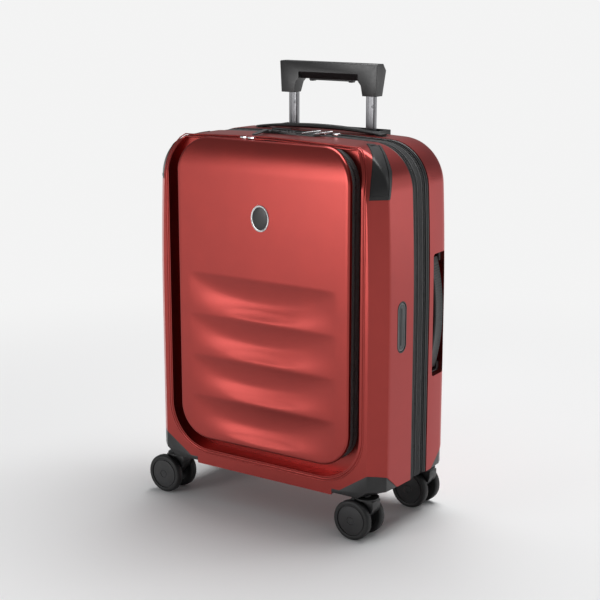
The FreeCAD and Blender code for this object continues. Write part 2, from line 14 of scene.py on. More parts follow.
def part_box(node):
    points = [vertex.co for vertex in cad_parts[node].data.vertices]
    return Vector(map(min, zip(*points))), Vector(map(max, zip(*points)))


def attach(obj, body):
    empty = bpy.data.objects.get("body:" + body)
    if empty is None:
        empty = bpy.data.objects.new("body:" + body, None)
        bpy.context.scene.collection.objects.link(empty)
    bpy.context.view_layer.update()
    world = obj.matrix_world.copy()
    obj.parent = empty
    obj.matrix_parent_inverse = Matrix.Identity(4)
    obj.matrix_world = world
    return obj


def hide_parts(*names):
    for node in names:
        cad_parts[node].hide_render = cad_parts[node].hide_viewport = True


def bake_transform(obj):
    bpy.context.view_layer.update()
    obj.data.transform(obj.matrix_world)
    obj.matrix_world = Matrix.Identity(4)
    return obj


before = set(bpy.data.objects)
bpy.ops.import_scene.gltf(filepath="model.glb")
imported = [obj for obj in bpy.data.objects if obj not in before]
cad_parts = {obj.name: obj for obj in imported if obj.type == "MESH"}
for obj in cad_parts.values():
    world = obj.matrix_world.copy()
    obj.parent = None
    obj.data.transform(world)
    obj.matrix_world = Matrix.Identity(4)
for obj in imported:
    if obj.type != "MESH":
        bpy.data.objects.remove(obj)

LOG = logging.getLogger("case")
HANDLE_X = 0.104
CORNERS = ("front_left", "front_right", "rear_left", "rear_right")
Loop = list[Vector]
Socket = bpy.types.NodeSocket


class Op(Enum):
    """How one solid works on another."""

    CUT = "DIFFERENCE"
    KEEP = "INTERSECT"
    ADD = "UNION"


def turns(count: int) -> list[float]:
    """Equal steps round a full circle, in radians."""
    return [2 * math.pi * n / count for n in range(count)]


# ---------------------------------------------------------------- modelling moves


class Bench:
    """The modelling moves that every sub-assembly shares."""

    @staticmethod
    def clear() -> None:
        """Go to object mode with nothing selected."""
        if bpy.context.object and bpy.context.object.mode != "OBJECT":
            bpy.ops.object.mode_set(mode="OBJECT")
        bpy.ops.object.select_all(action="DESELECT")

    @staticmethod
    def pick(piece: bpy.types.Object) -> None:
        """Select one piece alone and make it active."""
        Bench.clear()
        piece.select_set(True)
        bpy.context.view_layer.objects.active = piece

    @staticmethod
    def edit(piece: bpy.types.Object) -> bmesh.types.BMesh:
        """Open a piece in edit mode with everything deselected.

        Args:
            piece: the mesh object to edit.

        Returns:
            Its edit mesh.
        """
        Bench.pick(piece)
        bpy.ops.object.mode_set(mode="EDIT")
        bpy.ops.mesh.select_mode(type="VERT")
        bpy.ops.mesh.select_all(action="DESELECT")
        return bmesh.from_edit_mesh(piece.data)

    @staticmethod
    def edit_all(piece: bpy.types.Object) -> None:
        """Open a piece in edit mode with everything selected."""
        Bench.edit(piece)
        bpy.ops.mesh.select_all(action="SELECT")

    @staticmethod
    def settle(piece: bpy.types.Object) -> bpy.types.Object:
        """Move a piece's place and turn into its mesh."""
        Bench.pick(piece)
        bpy.ops.object.transform_apply(location=True, rotation=True, scale=True)
        return piece

    @staticmethod
    def block(name: str, low: Sequence[float], high: Sequence[float]) -> bpy.types.Object:
        """A box between two corners.

        Args:
            name: the piece's name.
            low: the corner with the least x, y and z.
            high: the opposite corner.

        Returns:
            The new box.
        """
        Bench.clear()
        middle = [(a + b) / 2 for a, b in zip(low, high)]
        bpy.ops.mesh.primitive_cube_add(size=1, location=middle)
        piece = bpy.context.object
        piece.name = name
        piece.scale = [b - a for a, b in zip(low, high)]
        return Bench.settle(piece)

    @staticmethod
    def drum(name: str, radius: float, start: Vector, along: Vector, sides: int = 64) -> bpy.types.Object:
        """A round bar from start, along a direction that holds its length."""
        Bench.clear()
        turn = along.to_track_quat("Z", "Y").to_euler()
        bpy.ops.mesh.primitive_cylinder_add(
            vertices=sides, radius=radius, depth=along.length, location=start + along / 2, rotation=turn)
        piece = bpy.context.object
        piece.name = name
        return Bench.settle(piece)

    @staticmethod
    def extrude_to(piece: bpy.types.Object, last: Sequence[int], places: Loop) -> list[int]:
        """Extrude the selected edges and put the new vertices in their places.

        Args:
            piece: the mesh, open in edit mode.
            last: the vertices of the selected edges.
            places: where the new vertex next to each of them goes.

        Returns:
            The new vertices in the same order.
        """
        bpy.ops.mesh.extrude_edges_move()
        mesh = bmesh.from_edit_mesh(piece.data)
        mesh.verts.ensure_lookup_table()
        after = []
        for index, place in zip(last, places):
            new = next(e.other_vert(mesh.verts[index]) for e in mesh.verts[index].link_edges
                       if e.other_vert(mesh.verts[index]).select)
            new.co = place
            after.append(new.index)
        return after

    @staticmethod
    def loft(name: str, loops: Sequence[Loop], ring: bool = False, caps: bool = True) -> bpy.types.Object:
        """Extrude a circle through a row of loops that all have as many points.

        Args:
            name: the piece's name.
            loops: the outlines in order.
            ring: join the last outline back to the first.
            caps: close both ends with a face; a ring has none.

        Returns:
            A mesh with its faces outwards.
        """
        Bench.clear()
        bpy.ops.mesh.primitive_circle_add(vertices=len(loops[0]), radius=1)
        piece = bpy.context.object
        piece.name = name
        mesh = Bench.edit(piece)
        mesh.verts.ensure_lookup_table()
        for vert, place in zip(mesh.verts, loops[0]):
            vert.co = place
        bpy.ops.mesh.select_all(action="SELECT")
        last = list(range(len(loops[0])))
        for loop in list(loops[1:]) + ([loops[0]] if ring else []):
            last = Bench.extrude_to(piece, last, loop)
        if ring:
            bpy.ops.mesh.select_all(action="SELECT")
            bpy.ops.mesh.remove_doubles(threshold=1e-7)
        elif caps:
            bpy.ops.mesh.select_all(action="DESELECT")
            bpy.ops.mesh.select_mode(type="EDGE")
            bpy.ops.mesh.select_non_manifold(extend=False)
            bpy.ops.mesh.edge_face_add()
        bpy.ops.mesh.select_mode(type="VERT")
        bpy.ops.mesh.select_all(action="SELECT")
        bpy.ops.mesh.remove_doubles(threshold=1e-6)
        bpy.ops.mesh.normals_make_consistent(inside=False)
        Bench.clear()
        return piece

    @staticmethod
    def modify(piece: bpy.types.Object, kind: str, **settings: object) -> bpy.types.Object:
        """Add one modifier, set it up and apply it.

        Args:
            piece: the mesh that changes.
            kind: the modifier's type.
            settings: its properties.

        Returns:
            The changed piece.
        """
        change = piece.modifiers.new(kind.lower(), kind)
        for name, value in settings.items():
            setattr(change, name, value)
        Bench.pick(piece)
        bpy.ops.object.modifier_apply(modifier=change.name)
        return piece

    @staticmethod
    def combine(piece: bpy.types.Object, tool: bpy.types.Object, op: Op) -> bpy.types.Object:
        """Cut, keep or add one solid on another.

        Args:
            piece: the solid that changes.
            tool: the solid that it meets.
            op: what is done; the tool is then removed.

        Returns:
            The changed piece.
        """
        Bench.modify(piece, "BOOLEAN", operation=op.value, object=tool, solver="EXACT")
        bpy.data.objects.remove(tool)
        return piece

    @staticmethod
    def slice(piece: bpy.types.Object, point: Vector, normal: Vector) -> bpy.types.Object:
        """Take away what lies past a plane and close the cut."""
        Bench.edit_all(piece)
        bpy.ops.mesh.bisect(plane_co=point, plane_no=normal, use_fill=True, clear_outer=True)
        Bench.clear()
        return piece

    @staticmethod
    def bevel(piece: bpy.types.Object, width: float, segments: int = 2) -> bpy.types.Object:
        """Round every edge sharper than 32 degrees."""
        return Bench.modify(piece, "BEVEL", width=width, segments=segments, limit_method="ANGLE",
                            angle_limit=math.radians(32), use_clamp_overlap=True, harden_normals=False)

    @staticmethod
    def smooth(piece: bpy.types.Object, angle: float = 32.0) -> bpy.types.Object:
        """Shade a piece smooth across edges flatter than an angle in degrees."""
        Bench.pick(piece)
        bpy.ops.object.shade_smooth_by_angle(angle=math.radians(angle))
        Bench.clear()
        return piece

    @staticmethod
    def from_frame(node: str, name: str, width: float, segments: int = 2) -> bpy.types.Object:
        """A copy of a frame node's solid, merged, with its edges rounded.

        Args:
            node: the node to copy.
            name: the new piece's name.
            width: the bevel's width; 0 leaves the edges.
            segments: the bevel's steps.

        Returns:
            The new piece.
        """
        source = bpy.data.objects[node]
        piece = source.copy()
        piece.data = source.data.copy()
        for key in [k for k in piece.keys() if k.startswith("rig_")]:
            del piece[key]
        piece.name = name
        bpy.context.scene.collection.objects.link(piece)
        piece.parent = None
        piece.matrix_world = source.matrix_world
        piece.data.materials.clear()
        Bench.edit_all(piece)
        bpy.ops.mesh.remove_doubles(threshold=1e-6)
        bpy.ops.mesh.dissolve_limited(angle_limit=math.radians(1.5))
        Bench.clear()
        if width:
            Bench.bevel(piece, width, segments)
        return Bench.smooth(piece)

    @staticmethod
    def join(name: str, pieces: Sequence[bpy.types.Object]) -> bpy.types.Object:
        """Join several meshes into one piece."""
        Bench.clear()
        for piece in pieces:
            piece.select_set(True)
        bpy.context.view_layer.objects.active = pieces[0]
        bpy.ops.object.join()
        made = bpy.context.object
        made.name = name
        Bench.clear()
        return made

    @staticmethod
    def thicken(piece: bpy.types.Object, wall: float) -> bpy.types.Object:
        """Give a surface a wall on its inner side."""
        return Bench.modify(piece, "SOLIDIFY", thickness=wall, offset=-1)

    @staticmethod
    def chamfer(piece: bpy.types.Object, offset: float, segments: int) -> bpy.types.Object:
        """Bevel every edge of a plain solid."""
        Bench.edit_all(piece)
        bpy.ops.mesh.bevel(offset=offset, segments=segments)
        Bench.clear()
        return piece

    @staticmethod
    def dress(piece: bpy.types.Object, *materials: bpy.types.Material) -> bpy.types.Object:
        """Give a piece its materials in order."""
        for material in materials:
            piece.data.materials.append(material)
        return piece

    @staticmethod
    def turn_faces(skin: bpy.types.Object, toward: int) -> None:
        """Turn an open skin's faces to the rear (1) or to the front (-1)."""
        if toward * sum(f.normal.y * f.area for f in skin.data.polygons) < 0:
            skin.data.flip_normals()

    @staticmethod
    def tooth(size: Sequence[float]) -> bpy.types.Object:
        """One zip tooth, a small block with chamfered edges."""
        unit = Bench.block("tooth", [-s / 2 for s in size], [s / 2 for s in size])
        return Bench.chamfer(unit, 0.0004, 1)

    @staticmethod
    def row(name: str, unit: bpy.types.Object, path: Sequence[tuple[float, float]], y: float,
            pitch: float) -> bpy.types.Object:
        """Repeat a small shape round a closed path in the case's upright plane.

        Args:
            name: the row's name.
            unit: the shape, made round the origin, with X along the path and Z towards the front.
            path: the path's (x, z) points.
            y: the depth of the path.
            pitch: the wanted distance between shapes.

        Returns:
            The row as one mesh.
        """
        ends = list(path[1:]) + [path[0]]
        length = sum(math.dist(a, b) for a, b in zip(path, ends))
        curve = bpy.data.curves.new(name + "_path", "CURVE")
        curve.dimensions = "2D"
        spline = curve.splines.new("POLY")
        spline.points.add(len(path) - 1)
        for point, place in zip(spline.points, path):
            point.co = (*place, 0, 1)
        spline.use_cyclic_u = True
        guide = bpy.data.objects.new(name + "_path", curve)
        bpy.context.scene.collection.objects.link(guide)
        count = round(length / pitch)
        Bench.modify(unit, "ARRAY", count=count, use_relative_offset=False, use_constant_offset=True,
                     constant_offset_displace=(length / count, 0, 0))
        Bench.modify(unit, "CURVE", object=guide, deform_axis="POS_X")
        bpy.data.objects.remove(guide)
        unit.name = name
        unit.rotation_euler = (math.pi / 2, 0, 0)
        unit.location = (0, y, 0)
        return Bench.settle(unit)


# ---------------------------------------------------------------- finishes


class Shader:
    """A material's node tree with one Principled shader."""

    def __init__(self, name: str) -> None:
        self.material = bpy.data.materials.new(name)
        self.material.use_nodes = True
        self.tree = self.material.node_tree
        self.surface = self.tree.nodes["Principled BSDF"]

    def set(self, **values: object) -> None:
        """Set shader sockets by name, with underscores for spaces."""
        for name, value in values.items():
            self.surface.inputs[name.replace("_", " ")].default_value = value

    def node(self, kind: str, **links: object) -> bpy.types.Node:
        """Add a node and fill or link its inputs by name.

        Args:
            kind: the node's type without its ShaderNode prefix.
            links: values or sockets for the inputs, with underscores for spaces.

        Returns:
            The node.
        """
        made = self.tree.nodes.new("ShaderNode" + kind)
        for name, value in links.items():
            socket = made.inputs[name.replace("_", " ")]
            if isinstance(value, bpy.types.NodeSocket):
                self.tree.links.new(value, socket)
            else:
                socket.default_value = value
        return made

    def place(self, scale: Sequence[float] = (1, 1, 1), turn: Sequence[float] = (0, 0, 0)) -> Socket:
        """The piece's own coordinates, scaled and turned."""
        where = self.node("TexCoord").outputs["Object"]
        return self.node("Mapping", Vector=where, Scale=scale, Rotation=turn).outputs["Vector"]

    def noise(self, scale: float, detail: float = 3.0, where: Socket | None = None) -> Socket:
        """A noise pattern."""
        where = where or self.place()
        return self.node("TexNoise", Vector=where, Scale=scale, Detail=detail).outputs["Fac"]

    def ramp(self, value: Socket, stops: Sequence[tuple[float, Sequence[float]]]) -> Socket:
        """Colours along a value."""
        made = self.tree.nodes.new("ShaderNodeValToRGB")
        self.tree.links.new(value, made.inputs["Fac"])
        ramp = made.color_ramp
        while len(ramp.elements) < len(stops):
            ramp.elements.new(0.5)
        for element, (at, colour) in zip(ramp.elements, stops):
            element.position = at
            element.color = (*colour, 1)
        return made.outputs["Color"]

    def between(self, value: Socket, low: float, high: float) -> Socket:
        """A value from 0 to 1 carried to another range."""
        return self.node("MapRange", Value=value, To_Min=low, To_Max=high).outputs["Result"]

    def bands(self, scale: float, turn: Sequence[float] = (0, 0, 0)) -> Socket:
        """Straight bands across the piece's X."""
        made = self.node("TexWave", Vector=self.place(turn=turn), Scale=scale)
        made.wave_profile = "SIN"
        return made.outputs["Fac"]

    def math(self, kind: str, a: object, b: object) -> Socket:
        """One arithmetic step."""
        made = self.tree.nodes.new("ShaderNodeMath")
        made.operation = kind
        for socket, value in zip(made.inputs, (a, b)):
            if isinstance(value, bpy.types.NodeSocket):
                self.tree.links.new(value, socket)
            else:
                socket.default_value = value
        return made.outputs[0]

    def bump(self, height: Socket, depth: float, strength: float = 1.0) -> None:
        """Let a height raise the surface by up to depth metres."""
        made = self.node("Bump", Height=height, Strength=strength, Distance=depth)
        self.tree.links.new(made.outputs["Normal"], self.surface.inputs["Normal"])

    def feed(self, name: str, value: Socket) -> None:
        """Link a pattern to one shader socket."""
        self.tree.links.new(value, self.surface.inputs[name])


@dataclass(frozen=True)
class ShellFinish:
    """Satin metallic polycarbonate with a fine grain and a few soft scuffs."""

    dark: tuple[float, float, float] = (0.30, 0.014, 0.008)
    light: tuple[float, float, float] = (0.33, 0.017, 0.010)

    def build(self) -> bpy.types.Material:
        """Make the material."""
        made = Shader("shell_polycarbonate")
        made.set(Metallic=0.95, Specular_Tint=(1, 0.25, 0.2, 1))
        made.set(Coat_Weight=0.8, Coat_IOR=1.55, Coat_Roughness=0.3)
        cloud = made.noise(38, 5)
        made.feed("Base Color", made.ramp(cloud, [(0.2, self.dark), (0.8, self.light)]))
        flake = made.node("TexVoronoi", Vector=made.place(), Scale=1500.0).outputs["Distance"]
        scuff = made.noise(160, 6, made.place(scale=(1, 1, 0.12), turn=(0.4, 0.2, 0)))
        rough = made.math("ADD", made.between(cloud, 0.29, 0.33), made.between(scuff, -0.02, 0.03))
        made.feed("Roughness", rough)
        made.bump(made.math("ADD", flake, made.noise(900, 2)), 0.00003, 0.35)
        return made.material


@dataclass(frozen=True)
class PlasticFinish:
    """Moulded plastic with a spark-eroded grain."""

    name: str
    shade: float = 0.018
    rough: float = 0.42
    grain: float = 1800.0
    relief: float = 0.00004

    def build(self) -> bpy.types.Material:
        """Make the material."""
        made = Shader(self.name)
        cloud = made.noise(55, 4)
        low, high = self.shade * 0.8, self.shade * 1.3
        stops = [(0.25, (low, low, low * 1.03)), (0.75, (high, high, high * 1.04))]
        made.feed("Base Color", made.ramp(cloud, stops))
        made.feed("Roughness", made.between(made.noise(210, 5), self.rough - 0.06, self.rough + 0.08))
        made.set(Specular_IOR_Level=0.5)
        made.bump(made.noise(self.grain, 2), self.relief, 0.5)
        return made.material


@dataclass(frozen=True)
class MetalFinish:
    """Metal with fine draw lines along one axis."""

    name: str
    colour: tuple[float, float, float]
    rough: float
    stretch: tuple[float, float, float] = (1, 1, 0.02)

    def build(self) -> bpy.types.Material:
        """Make the material."""
        made = Shader(self.name)
        made.set(Metallic=1.0)
        lines = made.noise(1400, 3, made.place(scale=self.stretch))
        smudge = made.noise(90, 5)
        worn = tuple(c * 0.82 for c in self.colour)
        made.feed("Base Color", made.ramp(smudge, [(0.3, worn), (0.7, self.colour)]))
        made.feed("Roughness", made.math("ADD", made.between(lines, self.rough - 0.05, self.rough + 0.06),
                                         made.between(smudge, -0.03, 0.05)))
        made.bump(lines, 0.00002, 0.4)
        return made.material


@dataclass(frozen=True)
class ClothFinish:
    """Woven cloth: two crossed thread sets, fuzz and a soft change of shade."""

    name: str
    shade: float = 0.05
    threads: float = 420.0
    relief: float = 0.00012
    tint: float = 1.05

    def build(self) -> bpy.types.Material:
        """Make the material."""
        made = Shader(self.name)
        across = made.bands(self.threads)
        along = made.bands(self.threads, turn=(0, math.pi / 2, 0))
        deep = made.bands(self.threads, turn=(0, 0, math.pi / 2))
        weave = made.math("MULTIPLY", made.math("ADD", across, deep), made.math("ADD", along, 0.35))
        low, high = self.shade * 0.55, self.shade * 1.35
        worn = made.math("ADD", made.math("MULTIPLY", weave, 0.35), made.noise(70, 4))
        stops = [(0.35, (low, low, low * self.tint)), (1.0, (high, high, high * self.tint))]
        made.feed("Base Color", made.ramp(worn, stops))
        made.set(Roughness=0.85, Sheen_Weight=0.35, Sheen_Roughness=0.5)
        made.bump(weave, self.relief, 0.8)
        return made.material


class Finishes:
    """Every finish of the case, each made once."""

    def __init__(self) -> None:
        self.shell = ShellFinish().build()
        self.black = PlasticFinish("black_plastic", 0.008, 0.34).build()
        self.satin = PlasticFinish("grip_plastic", 0.009, 0.3, 2400.0, 0.00002).build()
        self.caster = PlasticFinish("caster_plastic", 0.014, 0.36).build()
        self.cap = PlasticFinish("hub_cap", 0.022, 0.34, 2600.0, 0.00002).build()
        self.tyre = PlasticFinish("tyre_rubber", 0.006, 0.5, 900.0, 0.00006).build()
        self.rubber = PlasticFinish("strap_rubber", 0.016, 0.42, 1500.0, 0.00005).build()
        self.tagcard = PlasticFinish("tag_plastic", 0.05, 0.35).build()
        # The tag card's lighter grey stands for the bright edge of the tag: a painted highlight.
        self.ring = PlasticFinish("tag_rim_painted_highlight", 0.16, 0.3).build()
        self.piping = PlasticFinish("piping_vinyl", 0.03, 0.3, 1200.0, 0.00003).build()
        self.tape = ClothFinish("zip_tape", 0.022, 700.0, 0.00008).build()
        self.coil = PlasticFinish("zip_coil", 0.012, 0.28, 2000.0, 0.00001).build()
        self.lining = ClothFinish("lining_cloth", 0.075, 330.0, 0.0001, 1.12).build()
        self.webbing = ClothFinish("strap_webbing", 0.05, 520.0, 0.0002).build()
        self.alloy = MetalFinish("handle_alloy", (0.24, 0.24, 0.25), 0.34).build()
        self.chrome = MetalFinish("pull_chrome", (0.82, 0.82, 0.83), 0.17, (1, 1, 1)).build()
        self.steel = MetalFinish("axle_steel", (0.5, 0.5, 0.5), 0.3, (1, 0.02, 1)).build()


# ---------------------------------------------------------------- shared form


def finish_piece(piece: bpy.types.Object, body: str, slot: str, materials: Sequence[bpy.types.Material],
                 *nodes: str) -> bpy.types.Object:
    """Dress a piece, put it on its body and report it.

    Args:
        piece: the finished mesh.
        body: the body that it rides on; empty leaves it on no body.
        slot: a material slot name; not used.
        materials: its finishes; faces keep the index they have.
        nodes: the frame nodes that it stands for.

    Returns:
        The piece.
    """
    if not piece.data.materials:
        Bench.dress(piece, *materials)
    if body:
        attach(piece, body)
    if nodes:
        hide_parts(*nodes)
    LOG.info("%s: %d faces on %s", piece.name, len(piece.data.polygons), body)
    return piece


def copy_node(node: str, name: str, edge: tuple[float, int], body: str, slot: str,
              material: bpy.types.Material) -> bpy.types.Object:
    """A finished piece that copies one frame node.

    Args:
        node: the frame node that it copies and stands for.
        name: the piece's name.
        edge: the width and the steps of its rounded edges.
        body: the body that it rides on.
        slot: a material slot name, passed on but not used.
        material: its finish.

    Returns:
        The piece.
    """
    return finish_piece(Bench.from_frame(node, name, *edge), body, slot, [material], node)


@dataclass(frozen=True)
class Section:
    """One upright outline of the case: flat bottom, raised skirts, sides that lean in and a crowned top."""

    y: float
    half_w: float = 0.2
    top: float = 0.55
    corner_r: float = 0.065
    bottom: float = 0.057
    skirt_z: float = 0.072
    inset: float = 0.0
    lean: float = math.radians(3.0)
    crown: float = math.radians(2.5)
    lean_z: float = 0.3
    skirt_x: float = 0.16

    def right(self) -> list[tuple[float, float]]:
        """The (x, z) points of the right half from the bottom's middle up to the top's middle."""
        half_w, top, r = self.half_w - self.inset, self.top - self.inset, self.corner_r - self.inset
        bottom, skirt_x = self.bottom + self.inset, self.skirt_x - 0.18 * self.inset
        skirt_z = self.skirt_z + 0.69 * self.inset
        lean_end = top - r + r * math.sin(self.lean) - half_w * math.tan(self.crown / 2)
        bow = (lean_end - self.lean_z) * math.tan(self.lean / 2)
        x_top = half_w - bow - r * (math.cos(self.lean) - math.sin(self.crown))
        z_top = top - x_top * math.tan(self.crown / 2)
        cx, cz = x_top - r * math.sin(self.crown), z_top - r * math.cos(self.crown)
        corner_z = cz + r * math.sin(self.lean)
        big_r = (corner_z - self.lean_z) / math.sin(self.lean)
        side_x = cx + r * math.cos(self.lean) + big_r * (1 - math.cos(self.lean))
        points = [(skirt_x * n / 10, bottom) for n in range(10)]
        run, rise = (side_x - skirt_x) / 3, (skirt_z - bottom) / 3
        points += [(skirt_x + run * n, bottom + rise * n) for n in range(3)]
        points += [(side_x, skirt_z + (self.lean_z - skirt_z) * n / 12) for n in range(12)]
        for n in range(12):
            a = self.lean * n / 12
            points.append((side_x - big_r * (1 - math.cos(a)), self.lean_z + big_r * math.sin(a)))
        for n in range(22):
            a = self.lean + (math.pi / 2 - self.crown - self.lean) * n / 22
            points.append((cx + r * math.cos(a), cz + r * math.sin(a)))
        crown_r = x_top / math.sin(self.crown)
        for n in range(13):
            a = self.crown * (1 - n / 12)
            points.append((crown_r * math.sin(a), top - crown_r * (1 - math.cos(a))))
        return points

    def flat(self) -> list[tuple[float, float]]:
        """The whole closed outline as (x, z) points."""
        right = self.right()
        return right + [(-x, z) for x, z in right[-2:0:-1]]

    def loop(self) -> Loop:
        """The whole closed outline in space."""
        return [Vector((x, self.y, z)) for x, z in self.flat()]


@dataclass(frozen=True)
class RoundRect:
    """The upright outline of the door, grown outwards by a margin."""

    half_w: float = 0.149
    z0: float = 0.099
    z1: float = 0.546
    r: float = 0.05

    def flat(self, grow: float = 0.0) -> list[tuple[float, float]]:
        """The closed outline as (x, z) points.

        Args:
            grow: how far it stands outside the door; negative is inside.

        Returns:
            As many points for every margin.
        """
        w, z0, z1, r = self.half_w + grow, self.z0 - grow, self.z1 + grow, max(self.r + grow, 0.0)
        w, rise = max(w, 1e-5), z1 - z0
        mid = (z0 + z1) / 2
        points = []
        quarter = [(w - r, z0 + r, -90), (w - r, z1 - r, 0), (-w + r, z1 - r, 90), (-w + r, z0 + r, 180)]
        for n, (cx, cz, start) in enumerate(quarter):
            for k in range(13):
                a = math.radians(start + 90 * k / 12)
                points.append((cx + r * math.cos(a), cz + r * math.sin(a)))
            run = (rise - 2 * r) if n in (0, 2) else (2 * w - 2 * r)
            steps = 56 if n in (0, 2) else 36
            dx, dz = [(0, 1), (-1, 0), (0, -1), (1, 0)][n]
            x, z = points[-1]
            points += [(x + dx * run * k / steps, z + dz * run * k / steps) for k in range(1, steps)]
        return [(x, min(max(z, mid - rise / 2), mid + rise / 2)) for x, z in points]


@dataclass
class CaseForm:
    """The solids that both halves are cut from."""

    wall: float = 0.003
    front_y: float = -0.094
    front_edge: float = -0.011
    rear_edge: float = 0.033
    rear_y: float = 0.099
    caster: tuple[float, float] = (0.17, 0.078)
    swing_r: float = 0.052

    def front_sections(self, inset: float, start: float) -> list[Section]:
        """Outlines of the front half, from its front face back: sides chamfered, top edge rolled back."""
        made = []
        roll_end, chamfer_end = -0.066, -0.0735
        face_half_w, chamfer, seam = 0.179, 0.0205, 0.0005
        depths = (start, -0.0925, -0.0905, -0.0875, -0.084, -0.08, -0.0765, -0.0747, chamfer_end, -0.072,
                  -0.069, roll_end, -0.05, -0.03, self.front_edge)
        for y in depths:
            y = max(y, start)
            u = min(1.0, (y - start) / (roll_end - start))
            rise = math.sqrt(1 - (1 - u) ** 2)
            side = min(1.0, (y - start) / (chamfer_end - start))
            half_w = face_half_w + chamfer * side + seam * min(1.0, max(0.0, (y - chamfer_end) / 0.002))
            made.append(Section(y, half_w, 0.508 + 0.042 * rise, 0.034 + 0.031 * rise, 0.0576, inset=inset))
        return [s for n, s in enumerate(made) if n == 0 or s.y > made[n - 1].y + 1e-6]

    def front_block(self, name: str, inset: float = 0.0) -> bpy.types.Object:
        """The front half as a solid, inset from its skin."""
        return Bench.loft(name, [s.loop() for s in self.front_sections(inset, self.front_y + inset)])

    def rear_block(self, name: str, inset: float = 0.0) -> bpy.types.Object:
        """The rear half as a solid: round edges, then rings that close the waved back."""
        sections = [Section(self.rear_edge, inset=inset), Section(0.05, 0.1995, inset=inset)]
        steps = 8
        end = self.rear_y - inset
        for n in range(steps + 1):
            a = math.pi / 2 * n / steps
            fall = 1 - math.cos(a)
            y = 0.07 + (end - 0.004 - 0.07) * math.sin(a)
            sections.append(Section(y, 0.198 - 0.022 * fall, 0.55 - 0.018 * fall, 0.065 - 0.016 * fall,
                                    0.057 + 0.012 * fall, 0.072 + 0.008 * fall, inset=inset))
        loops = [s.loop() for s in sections]
        rim = Section(end, 0.15, 0.506, 0.034, 0.097, 0.106, inset=inset, skirt_x=0.12).loop()
        loops.append([a.lerp(b, 0.5) + Vector((0, 0.001, 0)) for a, b in zip(loops[-1], rim)])
        loops.append(rim)
        centre = Vector((0, end, 0.3))
        for n in range(1, 26):
            t = 1 - n / 26
            loops.append([Vector((p.x * t, end - self.back_wave(p.x * t, centre.z + (p.z - centre.z) * t),
                                  centre.z + (p.z - centre.z) * t)) for p in rim])
        return Bench.loft(name, loops)

    def back_wave(self, x: float, z: float) -> float:
        """How far the back is pressed in at a point."""
        ends = min(1.0, max(0.0, (0.135 - abs(x)) / 0.05))
        span = min(1.0, max(0.0, (z - 0.12) / 0.04)) * min(1.0, max(0.0, (0.46 - z) / 0.04))
        soft = ends * ends * (3 - 2 * ends) * span * span * (3 - 2 * span)
        return 0.0028 * soft * (0.5 + 0.5 * math.cos(2 * math.pi * (z - 0.32) / 0.063))

    def wheel_corner(self, grow: float = 0.0) -> bpy.types.Object:
        """The front-right wheel corner: what lies below a slanted plane, and the caster's swing.

        Args:
            grow: how much larger than the housing.

        Returns:
            The cutter.
        """
        a, b, c = Vector((0.118, -0.094, 0.057)), Vector((0.18, -0.094, 0.097)), Vector((0.2, -0.047, 0.072))
        up = (b - a).cross(c - a).normalized()
        body = Bench.block("corner", (0.06, -0.16, 0.0), (0.26, 0.0, 0.13))
        Bench.slice(body, a + up * grow, up)
        x, y = self.caster
        rise = Vector((0, 0, 0.057 + grow))
        disc = Bench.drum("disc", self.swing_r + grow, Vector((x, -y, 0.01)), rise, 96)
        boss = Bench.drum("boss", 0.01 + grow, Vector((x, -y, 0.012)), Vector((0, 0, 0.066 + grow)), 48)
        return Bench.combine(Bench.combine(body, disc, Op.ADD), boss, Op.ADD)

    def at_corner(self, piece: bpy.types.Object, front: bool, right: bool) -> bpy.types.Object:
        """Mirror a front-right shape to another corner."""
        flip = Matrix.Diagonal((1 if right else -1, 1 if front else -1, 1, 1))
        piece.data.transform(flip)
        if front != right:
            piece.data.flip_normals()
        return piece

    def cut_corners(self, piece: bpy.types.Object, front: bool, grow: float = 0.0) -> bpy.types.Object:
        """Cut both wheel corners of one half out of a solid."""
        for right in (True, False):
            Bench.combine(piece, self.at_corner(self.wheel_corner(grow), front, right), Op.CUT)
        return piece


